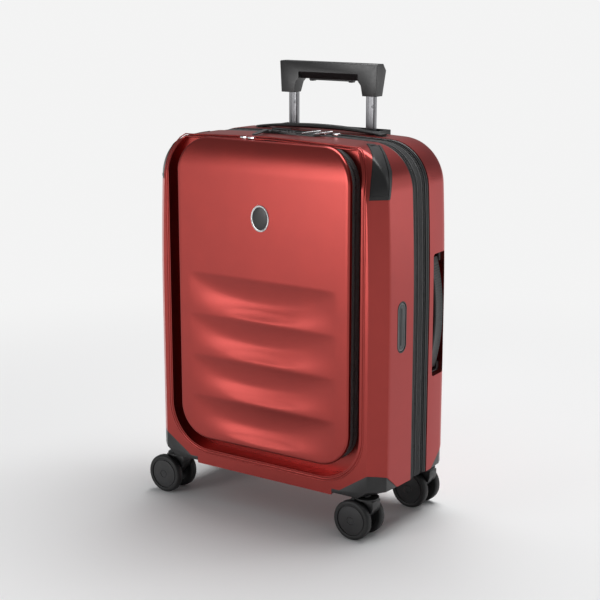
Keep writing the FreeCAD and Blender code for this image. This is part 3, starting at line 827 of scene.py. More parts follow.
@dataclass
class Bands:
    """What runs all round the case between its halves: piping, zip tapes and coils."""

    finishes: Finishes
    tooth_pitch: float = 0.0027
    tooth: tuple[float, float, float] = (0.0017, 0.0021, 0.0013)

    def band(self, name: str, profile: Sequence[tuple[float, float]]) -> bpy.types.Object:
        """A closed band from (depth under the skin, y) points."""
        made = Bench.loft(name, [Section(y, inset=depth).loop() for depth, y in profile], ring=True)
        return Bench.smooth(made, 40)

    def teeth(self, name: str, path: Sequence[tuple[float, float]], y: float) -> bpy.types.Object:
        """A row of zip teeth round a closed path at one depth."""
        return Bench.smooth(Bench.row(name, Bench.tooth(self.tooth), path, y, self.tooth_pitch), 40)

    def cord(self, inset: float, y: float, r: float) -> list[tuple[float, float]]:
        """A round cross-section as band points."""
        return [(inset - r * math.sin(a), y - r * math.cos(a)) for a in turns(12)]

    def piping(self, name: str, edge: float, inner: float, body: str, *nodes: str) -> None:
        """Piping along one shell's edge: a round cord, and the tape that it is sewn to.

        Args:
            name: the piece's name.
            edge: the y of the shell's edge, where the cord lies.
            inner: the y of the tape's far edge.
            body: the body that it rides on.
            nodes: the frame nodes that it stands for.
        """
        toward = 1 if inner > edge else -1
        r = 0.0021
        cord = self.band(name, self.cord(0.0026, edge + toward * (r + 0.0002), r))
        step = toward * 0.0042
        web = self.band("web", [(0.0021, edge + step), (0.0017, edge + step * 1.2), (0.0017, inner),
                                (0.0034, inner), (0.0038, edge + step)])
        start = inner - toward * 0.0014
        lip = self.band("lip", [(0.0012, start), (0.0008, inner - toward * 0.001), (0.0008, inner),
                                (0.003, inner), (0.003, start)])
        finish_piece(Bench.join(name, [cord, web, lip]), body, "zip_tape", [self.finishes.piping], *nodes)

    def zip(self, name: str, y0: float, y1: float, body: str, *nodes: str) -> None:
        """One closed zip: two tapes with a row of teeth on each.

        Args:
            name: the piece's name.
            y0: the front edge of the front tape.
            y1: the rear edge of the rear tape.
            body: the body that it rides on.
            nodes: the frame nodes that it stands for.
        """
        mid, gap, sewn = (y0 + y1) / 2, 0.0017, 0.0006
        tape = self.band(name, [(0.0022, y0), (0.0019, y0 + sewn), (0.0028, mid - gap), (0.0028, mid + gap),
                                (0.0019, y1 - sewn), (0.0022, y1), (0.0038, y1), (0.0038, y0)])
        Bench.dress(tape, self.finishes.tape)
        teeth = []
        for n, side in enumerate((-1, 1)):
            path = Section(0, inset=0.0025).flat()
            row = self.teeth(f"{name}_teeth_{n}", path, mid + side * 0.0008)
            Bench.dress(row, self.finishes.coil)
            teeth.append(row)
        finish_piece(Bench.join(name, [tape] + teeth), body, "zip_tape", [], *nodes)

    def plain_tape(self, name: str, y0: float, y1: float, body: str, *nodes: str) -> None:
        """The tape between the two main zips, with a sewn edge on each side."""
        rows = [(0.0022, y0), (0.0015, y0 + 0.0004), (0.0015, y0 + 0.002), (0.002, y0 + 0.0024),
                (0.0014, y0 + 0.0032)]
        back = [(d, y0 + y1 - y) for d, y in reversed(rows)]
        ribs = []
        count = 5
        for n in range(count):
            t = (n + 0.5) / count
            y = rows[-1][1] + (back[0][1] - rows[-1][1]) * t
            ribs += [(0.0012, y - 0.0004), (0.0016, y + 0.0004)]
        tape = self.band(name, rows + ribs + back + [(0.0039, y1), (0.0039, y0)])
        finish_piece(tape, body, "zip_tape", [self.finishes.tape], *nodes)

    def gusset(self) -> None:
        """The folded cloth that lets the case grow, from the middle tape to the rear half."""
        start, end, folds = 0.0075, 0.0325, 4
        out, deep, cloth = 0.0045, 0.0106, 0.0005
        line = [(out, 0.0045), (out, start)]
        for n in range(1, 2 * folds):
            line.append((deep if n % 2 else out, start + (end - start) * n / (2 * folds)))
        line += [(out, end), (out, 0.0365)]
        loops = [Section(y, inset=depth).loop() for depth, y in line]
        back = [Section(y, inset=depth + cloth).loop() for depth, y in reversed(line)]
        piece = Bench.smooth(Bench.loft("gusset_cloth", loops + back, ring=True), 50)
        finish_piece(piece, "", "lining_fabric", [self.finishes.lining], "expansion_gusset")
        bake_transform(piece)

    def build(self) -> None:
        """Make every band."""
        self.piping("front_piping_cord", -0.011, -0.004, "front_case", "front_piping")
        self.piping("rear_piping_cord", 0.033, 0.0242, "rear_case")
        self.zip("main_zip_coil", -0.0037, 0.003, "zip_band", "main_zip")
        self.plain_tape("middle_tape_web", 0.003, 0.017, "zip_band", "middle_tape")
        self.zip("expansion_zip_coil", 0.0173, 0.0242, "rear_case", "expansion_zip")
        self.gusset()


# ---------------------------------------------------------------- front half


@dataclass
class FrontCase:
    """The front shell with its corner bumpers, wheel corners, linings and trim."""

    form: CaseForm
    finishes: Finishes
    door: RoundRect = field(default_factory=RoundRect)
    channel: float = 0.017
    floor_y: float = -0.069
    flange: float = 0.0025
    body: str = "front_case"

    def prism(self, name: str, grow: float, y0: float, y1: float) -> bpy.types.Object:
        """The door's outline, grown, as a solid between two depths."""
        path = self.door.flat(grow)
        return Bench.loft(name, [[Vector((x, y, z)) for x, z in path] for y in (y0, y1)])

    def shell(self) -> None:
        """The shell: skin less hollow, channel, door opening and every seat."""
        form = self.form
        shell = form.front_block("front_shell_skin")
        surface = form.front_block("surface")
        hollow = form.cut_corners(form.front_block("hollow", form.wall), True, form.wall)
        hollow.data.transform(Matrix.Translation((0, 0.0005, 0)))
        Bench.combine(shell, hollow, Op.CUT)
        form.cut_corners(shell, True)
        lip = self.prism("lip", self.channel + self.flange, form.front_y, self.floor_y + self.flange)
        lip = Bench.combine(lip, form.front_block("block"), Op.KEEP)
        Bench.combine(shell, lip, Op.ADD)
        Bench.combine(shell, self.prism("trough", self.channel, -0.12, self.floor_y), Op.CUT)
        Bench.combine(shell, self.prism("way", -0.005, -0.12, 0.0), Op.CUT)
        for right in (True, False):
            seat = form.at_corner(self.bumper_patch("seat", 0.0, -0.004, 0.0021), True, right)
            Bench.combine(shell, seat, Op.CUT)
        Bench.combine(shell, Bench.block("lock_seat", (-0.046, -0.027, 0.541), (0.044, -0.012, 0.56)), Op.CUT)
        Bench.combine(shell, self.pill("tag_seat", 0.0025, 0.18, 0.21), Op.CUT)
        Bench.smooth(shell, 28)
        bead = self.rim_bead(surface)
        bpy.data.objects.remove(surface)
        made = Bench.join("front_shell_skin", [shell, bead])
        finish_piece(made, self.body, "shell_red", [self.finishes.shell], "front_shell")

    def rim_bead(self, surface: bpy.types.Object) -> bpy.types.Object:
        """A double bead on the channel's edge, which follows the shell's rolled top."""
        path = []
        for x, z in self.door.flat(self.channel + 0.0032):
            z = min(z, 0.5475 - 1.1e-5 * (1000 * abs(x)) ** 1.2)
            hit, place, _, _ = surface.ray_cast(Vector((x, -0.2, z)), Vector((0, 1, 0)))
            path.append(Vector((x, place.y if hit else self.floor_y + 0.003, z)))
        count = len(path)
        beads = []
        for n, (shift, r) in enumerate(((0.0, 0.0016), (0.0034, 0.0009))):
            loops = []
            for k in range(count):
                along = (path[(k + 1) % count] - path[k - 1]).normalized()
                out = Vector((path[k].x, 0, path[k].z - 0.32)).normalized()
                side = (out - along * out.dot(along)).normalized()
                up = along.cross(side).normalized()
                centre = path[k] + side * shift
                loops.append([centre + side * (r * math.cos(a)) + up * (0.75 * r * math.sin(a))
                              for a in turns(8)])
            beads.append(Bench.smooth(Bench.loft(f"bead_{n}", loops, ring=True), 80))
        return Bench.join("bead", beads)

    def bumper_patch(self, name: str, margin: float, top: float, depth: float) -> bpy.types.Object:
        """A front-right corner patch, as a solid between two depths under the skin.

        Args:
            name: the piece's name.
            margin: how far it is drawn in from the patch's edge.
            top: the depth of its outer face; negative stands proud.
            depth: the depth of its inner face.

        Returns:
            The patch.
        """
        patch = [(0.060, 0.480), (0.0625, 0.503), (0.067, 0.528), (0.071, 0.552), (0.090, 0.552),
                 (0.096, 0.515), (0.0895, 0.480)]
        cu = sum(u for u, _ in patch) / len(patch)
        cz = sum(z for _, z in patch) / len(patch)
        along, out = Vector((1, 1, 0)).normalized(), Vector((1, -1, 0)).normalized()
        near, far = [], []
        for u, z in patch:
            span = math.dist((u, z), (cu, cz))
            t = 1 - margin / span
            place = along * (cu + (u - cu) * t) + Vector((0, 0, cz + (z - cz) * t))
            near.append(place + out * 0.12)
            far.append(place + out * 0.26)
        body = Bench.loft(name, [near, far])
        body = Bench.combine(body, self.form.front_block("skin", top), Op.KEEP)
        inner = self.form.front_block("core", depth)
        return Bench.combine(Bench.combine(body, inner, Op.CUT),
                             self.prism("trough", self.channel, -0.12, self.floor_y), Op.CUT)

    def bumpers(self) -> None:
        """The two corner bumpers, each with a raised rim round a flush panel."""
        pieces = []
        for right in (True, False):
            bumper = self.bumper_patch("bumper", 0.0003, 0.0, 0.0019)
            rim = self.bumper_patch("rim", 0.0022, -0.0007, 0.0015)
            Bench.combine(rim, self.bumper_patch("panel", 0.0062, -0.003, 0.0018), Op.CUT)
            for part in (bumper, rim):
                pieces.append(self.form.at_corner(Bench.smooth(part, 30), True, right))
        made = Bench.join("corner_bumper_pair", pieces)
        finish_piece(made, self.body, "black_plastic", [self.finishes.black], "corner_bumpers")

    def pill(self, name: str, grow: float, x0: float, x1: float) -> bpy.types.Object:
        """The name tag's outline in the right side, as a solid between two distances from the middle.

        Args:
            name: the piece's name.
            grow: how much larger than the tag.
            x0: its inner end.
            x1: its outer end.

        Returns:
            The solid.
        """
        r, half, y, z = 0.0095 + grow, 0.034 + grow, -0.041, 0.301
        ring = []
        for k in range(48):
            a = 2 * math.pi * (k + 0.5) / 48
            lift = (half - r) if math.sin(a) > 0 else (r - half)
            ring.append((y + r * math.cos(a), z + lift + r * math.sin(a)))
        return Bench.loft(name, [[Vector((x, a, b)) for a, b in ring] for x in (x0, x1)])

    def tag(self) -> None:
        """The name tag's frame and the tag itself, whose rim round its window is a lighter grey than its
        face: a painted highlight.
        """
        frame_ring = self.pill("tag_bezel", 0.0024, 0.1815, 0.2004)
        Bench.combine(frame_ring, self.pill("hole", 0.0004, 0.17, 0.21), Op.CUT)
        Bench.smooth(Bench.bevel(frame_ring, 0.0006, 3), 40)
        Bench.dress(frame_ring, self.finishes.black)
        back = self.pill("tag_back", 0.0024, 0.18, 0.1815)
        Bench.dress(back, self.finishes.black)
        bezel = Bench.join("tag_bezel", [frame_ring, back])
        finish_piece(bezel, self.body, "black_plastic", [], "id_tag_frame")
        tag = self.pill("tag_card", -0.0002, 0.1822, 0.1996)
        # The card, rim included, is lighter grey than its face: a painted highlight round the window.
        Bench.dress(tag, self.finishes.ring)
        Bench.combine(tag, self.pill("dish", -0.0022, 0.1988, 0.21), Op.CUT)
        Bench.smooth(Bench.bevel(tag, 0.0004, 2), 40)
        face = self.pill("tag_face", -0.0028, 0.1984, 0.1993)
        Bench.smooth(Bench.bevel(face, 0.0003, 2), 40)
        Bench.dress(face, self.finishes.tagcard)
        slot = self.pill("slot_bar", -0.0074, 0.1992, 0.1997)
        Bench.dress(slot, self.finishes.black)
        finish_piece(Bench.join("tag_card", [tag, face, slot]), "id_tag", "black_plastic", [], "id_tag")

    def tape(self) -> None:
        """The frame's half of the door zip, with its teeth."""
        tape = door_tape("frame_zip_tape", self.door, self.finishes, -0.08, self.floor_y - 0.0002, 1)
        finish_piece(tape, self.body, "zip_tape", [], "frame_zip")

    def linings(self) -> None:
        """The cloth lining of the front half and the sleeve behind the door."""
        lining = Bench.smooth(Bench.from_frame("front_lining", "front_lining_cloth", 0), 50)
        finish_piece(lining, self.body, "lining_fabric", [self.finishes.lining], "front_lining")
        sleeve = Bench.from_frame("laptop_sleeve", "laptop_sleeve_cloth", 0)
        finish_piece(sleeve, self.body, "lining_fabric", [self.finishes.lining], "laptop_sleeve")

    def trim(self) -> None:
        """Wheel corners and sliders."""
        copy_node("front_wheel_housings", "front_wheel_corners", (0.0011, 2), self.body, "black_plastic",
                  self.finishes.caster)
        copy_node("main_sliders", "main_slider_pair", (0.0006, 2), self.body, "bright_metal",
                  self.finishes.chrome)

    def build(self) -> None:
        """Make every piece of the front half."""
        self.shell()
        self.bumpers()
        self.tag()
        self.tape()
        self.linings()
        self.trim()


def door_tape(name: str, door: RoundRect, finishes: Finishes, y0: float, y1: float,
              side: int) -> bpy.types.Object:
    """Half of the door zip: a tape round the door with a row of teeth on its inner edge.

    Args:
        name: the piece's name.
        door: the door's outline.
        finishes: the case's finishes.
        y0: the tape's front edge.
        y1: its rear edge.
        side: 1 if the teeth are on the front edge, -1 if on the rear edge.

    Returns:
        The tape and its teeth as one piece.
    """
    rib = 0.0004
    rows = [(-0.0012, y0)]
    steps = 6
    for n in range(steps):
        y = y0 + (y1 - y0) * (n + 0.5) / steps
        rows.append((-0.0012 + (rib if n % 2 else 0), y))
    rows += [(-0.0012, y1), (-0.0027, y1), (-0.0027, y0)]
    tape = Bench.loft(name, [[Vector((x, y, z)) for x, z in door.flat(grow)] for grow, y in rows], ring=True)
    Bench.dress(tape, finishes.tape)
    Bench.smooth(tape, 50)
    unit = Bench.tooth((0.0018, 0.0014, 0.002))
    at = y0 + 0.0011 if side > 0 else y1 - 0.0011
    teeth = Bench.smooth(Bench.row("teeth", unit, door.flat(-0.0014), at, 0.0027), 40)
    Bench.dress(teeth, finishes.coil)
    return Bench.join(name, [tape, teeth])


@dataclass
class FrontDoor:
    """The waved front door with its badge, lining, half of the zip and pull."""

    finishes: Finishes
    outline: RoundRect = field(default_factory=RoundRect)
    front_y: float = -0.096
    roll_z: float = 0.5
    roll_r: float = 0.0975
    edge_r: float = 0.0035
    rim: float = 0.006
    wall: float = 0.0022
    pitch: float = 0.0615
    first_edge: float = 0.350
    scoops: int = 4
    scoop_half_w: float = 0.128
    depth: float = 0.0062
    lens_depth: float = 0.0007
    lining_top: float = 0.494
    body: str = "front_door"

    def roll(self, z: float) -> float:
        """How far the face has rolled back at a height."""
        rise = max(0.0, z - self.roll_z)
        return self.roll_r - math.sqrt(self.roll_r ** 2 - rise ** 2)

    def wave(self, x: float, z: float) -> float:
        """How far the face is pressed in at a point: scoops with a sharp upper edge that fade at both ends.

        Args:
            x: distance from the middle.
            z: height.

        Returns:
            The depth under the flat face.
        """
        reach = x / self.scoop_half_w
        if abs(reach) >= 1 or z > self.first_edge:
            return 0.0
        bay = int((self.first_edge - z) / self.pitch)
        if bay >= self.scoops:
            return 0.0
        u = (self.first_edge - z) / self.pitch - bay
        arch = 1 - reach * reach
        turn = 0.16 + 0.36 * arch
        if u < turn:
            lift = 1 - (1 - u / turn) ** 2
        else:
            lift = 0.5 + 0.5 * math.cos(math.pi * (u - turn) / (1 - turn))
        lens = max(0.0, 1 - (x / (0.5 * self.scoop_half_w)) ** 2 - ((u - 0.84) / 0.11) ** 2)
        return self.depth * arch * lift + self.lens_depth * lens

    def face(self, x: float, z: float, drop: float = 0.0) -> Vector:
        """A point of the face, dropped back near the edge."""
        return Vector((x, self.front_y + self.roll(z) + self.wave(x, z) + drop, z))

    def rim_path(self, grow: float, across: int, up: int) -> list[tuple[float, float]]:
        """The door's outline from its lower left corner, by equal steps along each side.

        Args:
            grow: how far outside the door's edge.
            across: steps along the bottom and the top.
            up: steps along each side.

        Returns:
            The (x, z) points anticlockwise as seen from the front.
        """
        out = self.outline
        w, z0, z1, r = out.half_w + grow, out.z0 - grow, out.z1 + grow, out.r + grow
        arc = r * math.pi / 4
        points = []
        for side in range(4):
            run = (2 * w - 2 * r) if side % 2 == 0 else (z1 - z0 - 2 * r)
            steps = across if side % 2 == 0 else up
            total = run + 2 * arc
            for k in range(steps):
                s = total * k / steps
                if s < arc:
                    a = math.pi / 4 - s / r
                    along, inward = -run / 2 - r * math.sin(a), r - r * math.cos(a)
                elif s > total - arc:
                    a = (s - total + arc) / r
                    along, inward = run / 2 + r * math.sin(a), r - r * math.cos(a)
                else:
                    along, inward = s - arc - run / 2, 0.0
                mid = (z0 + z1) / 2
                points.append([(along, z0 + inward), (w - inward, mid + along), (-along, z1 - inward),
                               (-w + inward, mid - along)][side])
        return points

    def grid(self, across: int, up: int) -> tuple[bpy.types.Object, list[int]]:
        """A fine grid laid over the face, blended from the four sides of its outline.

        Args:
            across: steps along the bottom and the top.
            up: steps along each side.

        Returns:
            The open skin in edit mode, and its edge's vertices in the outline's order.
        """
        ring = self.rim_path(-self.edge_r, across, up)
        south, east = ring[:across + 1], ring[across:across + up + 1]
        north = ring[across + up:2 * across + up + 1][::-1]
        west = (ring[2 * across + up:] + ring[:1])[::-1]
        Bench.clear()
        bpy.ops.mesh.primitive_grid_add(x_subdivisions=across, y_subdivisions=up, size=1)
        skin = bpy.context.object
        skin.name = "door_moulding"
        mesh = Bench.edit(skin)
        at: dict[tuple[int, int], int] = {}
        for vert in mesh.verts:
            i, j = round((vert.co.x + 0.5) * across), round((vert.co.y + 0.5) * up)
            s, t = i / across, j / up
            place = []
            for k in (0, 1):
                level = (1 - s) * west[j][k] + s * east[j][k]
                upright = (1 - t) * south[i][k] + t * north[i][k]
                low = (1 - s) * south[0][k] + s * south[-1][k]
                high = (1 - s) * north[0][k] + s * north[-1][k]
                place.append(level + upright - (1 - t) * low - t * high)
            vert.co = self.face(*place)
            at[i, j] = vert.index
        order = [(i, 0) for i in range(across)] + [(across, j) for j in range(up)]
        order += [(i, up) for i in range(across, 0, -1)] + [(0, j) for j in range(up, 0, -1)]
        return skin, [at[key] for key in order]

    def moulding(self) -> None:
        """The door's skin: the face's grid, extruded round its edge and given a wall."""
        across, up, steps = 60, 200, 5
        skin, last = self.grid(across, up)
        rows = []
        for n in range(1, steps + 1):
            a = math.pi / 2 * n / steps
            rows.append((-self.edge_r * (1 - math.sin(a)), self.edge_r * (1 - math.cos(a))))
        rows += [(0.0, self.rim * 0.8), (0.0, self.rim)]
        bpy.ops.mesh.select_mode(type="EDGE")
        for grow, drop in rows:
            bpy.ops.mesh.select_all(action="DESELECT")
            mesh = bmesh.from_edit_mesh(skin.data)
            mesh.verts.ensure_lookup_table()
            for a, b in zip(last, last[1:] + last[:1]):
                mesh.edges.get((mesh.verts[a], mesh.verts[b])).select = True
            mesh.select_flush(True)
            places = [self.face(x, z, drop) for x, z in self.rim_path(grow, across, up)]
            last = Bench.extrude_to(skin, last, places)
        Bench.edit_all(skin)
        bpy.ops.mesh.normals_make_consistent(inside=False)
        Bench.clear()
        Bench.turn_faces(skin, -1)
        Bench.smooth(Bench.thicken(skin, self.wall), 24)
        finish_piece(skin, self.body, "shell_red", [self.finishes.shell], "front_door")

    def badge(self) -> None:
        """A plain oval plate with a raised rim and a domed middle."""
        cx, cz, half_w, half_h = 0.0, 0.4395, 0.0155, 0.019
        back, front = self.front_y + 0.0012, self.front_y - 0.0014
        rows = [(1.0, back), (1.0, front + 0.0007), (0.965, front), (0.93, front), (0.9, front + 0.0006),
                (0.86, front + 0.0008), (0.8, front + 0.0005), (0.6, front + 0.0002), (0.3, front),
                (0.001, front)]
        loops = [[Vector((cx + half_w * t * math.cos(a), y, cz + half_h * t * math.sin(a)))
                  for a in turns(72)] for t, y in rows]
        plate = Bench.smooth(Bench.loft("oval_badge", loops), 40)
        Bench.dress(plate, self.finishes.black, self.finishes.chrome)
        for face in plate.data.polygons:
            reach = math.hypot((face.center.x - cx) / half_w, (face.center.z - cz) / half_h)
            face.material_index = 1 if reach > 0.87 else 0
        finish_piece(plate, self.body, "bright_metal", [], "badge")

    def lining(self) -> None:
        """The cloth on the door's back."""
        loops = []
        for n in range(24):
            grow = -0.0045 - 0.143 * n / 23
            path = self.outline.flat(grow)
            loops.append([self.face(x, min(z, self.lining_top), self.wall + 0.0012) for x, z in path])
        cloth = Bench.loft("door_lining_cloth", loops, caps=False)
        Bench.turn_faces(cloth, 1)
        Bench.smooth(Bench.thicken(cloth, 0.0008), 40)
        finish_piece(cloth, self.body, "lining_fabric", [self.finishes.lining], "door_lining")

    def build(self) -> None:
        """Make every piece of the door."""
        self.moulding()
        self.badge()
        self.lining()
        tape = door_tape("door_zip_tape", self.outline, self.finishes, self.front_y + self.rim, -0.0803, -1)
        for vert in tape.data.vertices:
            vert.co.y = max(vert.co.y, min(self.front_y + self.roll(vert.co.z) + self.rim, -0.0804))
        finish_piece(tape, self.body, "zip_tape", [], "door_zip")
        copy_node("door_sliders", "door_slider_pair", (0.0006, 2), self.body, "bright_metal",
                  self.finishes.chrome)
        copy_node("door_pull", "door_pull_strap", (0.0005, 2), "door_pull", "handle_rubber",
                  self.finishes.rubber)


# ---------------------------------------------------------------- rear half


@dataclass
class RearCase:
    """The rear shell with its seats, linings, straps and the long handle's bezel."""

    form: CaseForm
    finishes: Finishes
    body: str = "rear_case"

    def recess(self, name: str, grow: float) -> bpy.types.Object:
        """The side handle's recess as a solid."""
        low, high = (0.176 - grow, 0.044 - grow, 0.211 - grow), (0.215, 0.082 + grow, 0.389 + grow)
        return Bench.block(name, low, high)

    def shell(self) -> None:
        """The shell: skin less hollow and every seat."""
        form = self.form
        shell = form.rear_block("rear_shell_skin")
        hollow = form.cut_corners(form.rear_block("hollow", form.wall), False, form.wall)
        hollow.data.transform(Matrix.Translation((0, -0.0005, 0)))
        Bench.combine(hollow, self.recess("cover", form.wall - 0.0005), Op.CUT)
        Bench.combine(shell, hollow, Op.CUT)
        Bench.combine(shell, Bench.chamfer(self.recess("recess", 0.0), 0.005, 4), Op.CUT)
        form.cut_corners(shell, False)
        low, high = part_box("trolley_bezel")
        Bench.combine(shell, Bench.block("bezel_seat", low, (high[0], 0.12, 0.6)), Op.CUT)
        for x in (-HANDLE_X, HANDLE_X):
            socket = Bench.block("socket", (x - 0.011, 0.042, 0.516), (x + 0.011, 0.06, 0.56))
            Bench.combine(shell, socket, Op.CUT)
        Bench.smooth(shell, 28)
        finish_piece(shell, self.body, "shell_red", [self.finishes.shell], "rear_shell")

    def trim(self) -> None:
        """Wheel corners, bezel, sockets and the handle's end pockets."""
        made = [("rear_wheel_housings", "rear_wheel_corners", 0.0011, self.finishes.caster),
                ("trolley_bezel", "long_handle_bezel", 0.0008, self.finishes.black),
                ("top_handle_mounts", "top_handle_sockets", 0.0008, self.finishes.black),
                ("side_handle_mounts", "side_handle_pockets", 0.0008, self.finishes.black)]
        for node, name, width, material in made:
            copy_node(node, name, (width, 2), self.body, "black_plastic", material)

    def lining(self) -> None:
        """The cloth lining of the rear half."""
        cloth = Bench.smooth(Bench.from_frame("rear_lining", "rear_lining_cloth", 0), 50)
        finish_piece(cloth, self.body, "lining_fabric", [self.finishes.lining], "rear_lining")

    def straps(self) -> None:
        """Two crossed straps with sewn edges, and the buckle where they meet."""
        pieces = []
        start, end_at, cross_z = 0.0285, 0.262, 0.305
        edge, sewn, inner, back = 0.0125, 0.0118, 0.0108, -0.0005
        outline = ((-edge, 0.0004), (-sewn, 0.0007), (-inner, 0.0003), (inner, 0.0003), (sewn, 0.0007),
                   (edge, 0.0004), (edge, back), (-edge, back))
        for turn in (1, -1):
            y = 0.0406 + turn * 0.0008
            for end in (1, -1):
                a = math.radians(turn * 48)
                along = Vector((math.cos(a), 0, -math.sin(a))) * end
                side = Vector((math.sin(a), 0, math.cos(a)))
                loops = []
                for n in range(41):
                    t = n / 40
                    sag = 0.0012 * math.sin(math.pi * t)
                    middle = along * (start + (end_at - start) * t) + Vector((0, y + sag, cross_z))
                    loops.append([middle + side * w + Vector((0, h, 0)) for w, h in outline])
                pieces.append(Bench.loft("strap", loops))
        straps = Bench.smooth(Bench.join("packing_strap_webbing", pieces), 30)
        finish_piece(straps, self.body, "zip_tape", [self.finishes.webbing], "packing_straps")
        low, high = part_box("strap_buckle")
        buckle = Bench.bevel(Bench.block("strap_buckle_cross", low, high), 0.0035, 4)
        ridge = Bench.block("release_ridge", (low[0] + 0.008, low[1] - 0.0005, low[2] + 0.006),
                            (high[0] - 0.008, low[1] + 0.002, high[2] - 0.006))
        Bench.combine(buckle, Bench.bevel(ridge, 0.0008, 2), Op.CUT)
        Bench.smooth(buckle, 40)
        finish_piece(buckle, self.body, "black_plastic", [self.finishes.black], "strap_buckle")

    def build(self) -> None:
        """Make every piece of the rear half."""
        self.shell()
        self.trim()
        self.lining()
        self.straps()
        copy_node("expansion_pull", "expansion_pull_strap", (0.0005, 2), "expansion_pull", "handle_rubber",
                  self.finishes.rubber)


# ---------------------------------------------------------------- handles


@dataclass
class CarryHandles:
    """The ribbed strap handles on the top and the right side."""

    finishes: Finishes
    rib_pitch: float = 0.0036
    rib: float = 0.0006

    def strap(self, name: str, centre: Callable[[float], Vector], across: Vector, width: float,
              thick: Callable[[float], float], length: float) -> bpy.types.Object:
        """A strap along a line, with ribs across its outer face.

        Args:
            name: the piece's name.
            centre: the strap's middle line, from 0 to 1.
            across: the direction of its width.
            width: its width.
            thick: its thickness along the line.
            length: its rough length.

        Returns:
            The strap.
        """
        steps = round(length / self.rib_pitch) * 4
        loops = []
        for n in range(steps + 1):
            t = n / steps
            here = centre(t)
            along = (centre(min(1, t + 0.01)) - centre(max(0, t - 0.01))).normalized()
            out = across.cross(along).normalized()
            if out.x + out.z < 0:
                out = -out
            rib = self.rib * (0.5 + 0.5 * math.cos(2 * math.pi * n / 4)) if 0.06 < t < 0.94 else 0.0
            half_w, half_t = width / 2, thick(t) / 2
            edge, soft, flank = 0.0016, 0.0016 * 0.4, half_w - 0.0024
            shape = [(-half_w, -half_t + edge), (-half_w + soft, -half_t + soft), (-half_w + edge, -half_t),
                     (half_w - edge, -half_t), (half_w - soft, -half_t + soft), (half_w, -half_t + edge),
                     (half_w, half_t - edge), (half_w - soft, half_t - soft), (half_w - edge, half_t),
                     (flank, half_t - rib), (-flank, half_t - rib), (-half_w + edge, half_t),
                     (-half_w + soft, half_t - soft), (-half_w, half_t - edge)]
            loops.append([here + across * w + out * h for w, h in shape])
        return Bench.smooth(Bench.loft(name, loops), 35)

    def side(self) -> None:
        """The side strap, bowed out over its recess."""
        low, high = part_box("side_handle")
        y, rise, half = (low[1] + high[1]) / 2, 0.0112, (high[2] - low[2]) / 2

        def centre(t: float) -> Vector:
            u = 2 * t - 1
            return Vector((high[0] - 0.0038 - rise * u * u, y, (low[2] + high[2]) / 2 + half * u))

        strap = self.strap("side_handle_strap", centre, Vector((0, 1, 0)), high[1] - low[1], lambda t: 0.0074,
                           high[2] - low[2])
        finish_piece(strap, "side_handle", "handle_rubber", [self.finishes.rubber], "side_handle")

    def top(self) -> None:
        """The top strap with a leg at each end."""
        low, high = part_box("top_handle")
        y, half = (low[1] + high[1]) / 2, (high[0] - low[0]) / 2

        def centre(t: float) -> Vector:
            u = 2 * t - 1
            return Vector((half * u, y, high[2] - 0.0028 - 0.006 * u * u))

        strap = self.strap("top_handle_strap", centre, Vector((0, 1, 0)), high[1] - low[1],
                           lambda t: 0.0054 - 0.0028 * (2 * t - 1) ** 2, high[0] - low[0])
        legs = []
        for x in (-HANDLE_X, HANDLE_X):
            leg = Bench.block("leg", (x - 0.005, 0.046, low[2]), (x + 0.005, 0.056, 0.5502))
            legs.append(Bench.smooth(Bench.bevel(leg, 0.0012, 2), 40))
        made = Bench.join("top_handle_strap", [strap] + legs)
        finish_piece(made, "top_handle", "handle_rubber", [self.finishes.rubber], "top_handle")

    def build(self) -> None:
        """Make both handles."""
        self.side()
        self.top()


@dataclass
class LongHandle:
    """The telescopic handle: ridged tubes, grip and release bar."""

    finishes: Finishes
    tube_x: float = 0.068
    tube_y: float = 0.083
    inner: tuple[float, float] = (0.015, 0.0085)
    step: float = 0.0015

    def tube(self, name: str, x: float, stage: int, z0: float, z1: float) -> bpy.types.Object:
        """One tube with round corners and a shallow groove along each wide face."""
        grow = stage * self.step
        w, d, r, wall = self.inner[0] / 2 + grow, self.inner[1] / 2 + grow, 0.0022, 0.0011
        outline = []
        corners = ((w - r, d - r, 0), (-w + r, d - r, 90), (-w + r, -d + r, 180), (w - r, -d + r, 270))
        for cx, cy, start in corners:
            for k in range(5):
                a = math.radians(start + 90 * k / 4)
                outline.append((cx + r * math.cos(a), cy + r * math.sin(a)))
            if start in (0, 180):
                s = 1 if start == 0 else -1
                outline += [(s * 0.0026, s * d), (s * 0.0022, s * (d - 0.0005)),
                            (-s * 0.0022, s * (d - 0.0005)), (-s * 0.0026, s * d)]
        inside = [(a * (w - wall) / w, b * (d - wall) / d) for a, b in outline]
        rows = [(outline, z0), (outline, z1), (inside, z1), (inside, z0)]
        loops = [[Vector((x + a, self.tube_y + b, z)) for a, b in ring] for ring, z in rows]
        return Bench.loft(name, loops, ring=True)

    def tubes(self, node: str, name: str, stage: int, body: str, holes: bool) -> None:
        """Both tubes of one stage."""
        low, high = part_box(node)
        made = []
        for x in (-self.tube_x, self.tube_x):
            tube = self.tube(name, x, stage, low[2], high[2])
            if holes:
                face = self.tube_y - self.inner[1] / 2
                start = Vector((x + 0.0048, face + 0.0006, 0.585))
                pin = Bench.drum("button", 0.0019, start, Vector((0, -0.001, 0)), 24)
                tube = Bench.join(name, [tube, Bench.bevel(pin, 0.0003, 2)])
            made.append(tube)
        piece = Bench.smooth(Bench.join(name, made), 30)
        finish_piece(piece, body, "tube_metal", [self.finishes.alloy], node)

    def build(self) -> None:
        """Make the handle."""
        self.tubes("inner_tubes", "inner_tube_pair", 0, "handle_grip", True)
        self.tubes("middle_tubes", "middle_tube_pair", 1, "middle_stage", False)
        copy_node("grip", "grip_bar", (0.0021, 4), "handle_grip", "black_plastic", self.finishes.satin)
        copy_node("release_bar", "release_bar_pad", (0.0008, 2), "release_bar", "black_plastic",
                  self.finishes.black)


# ---------------------------------------------------------------- lock


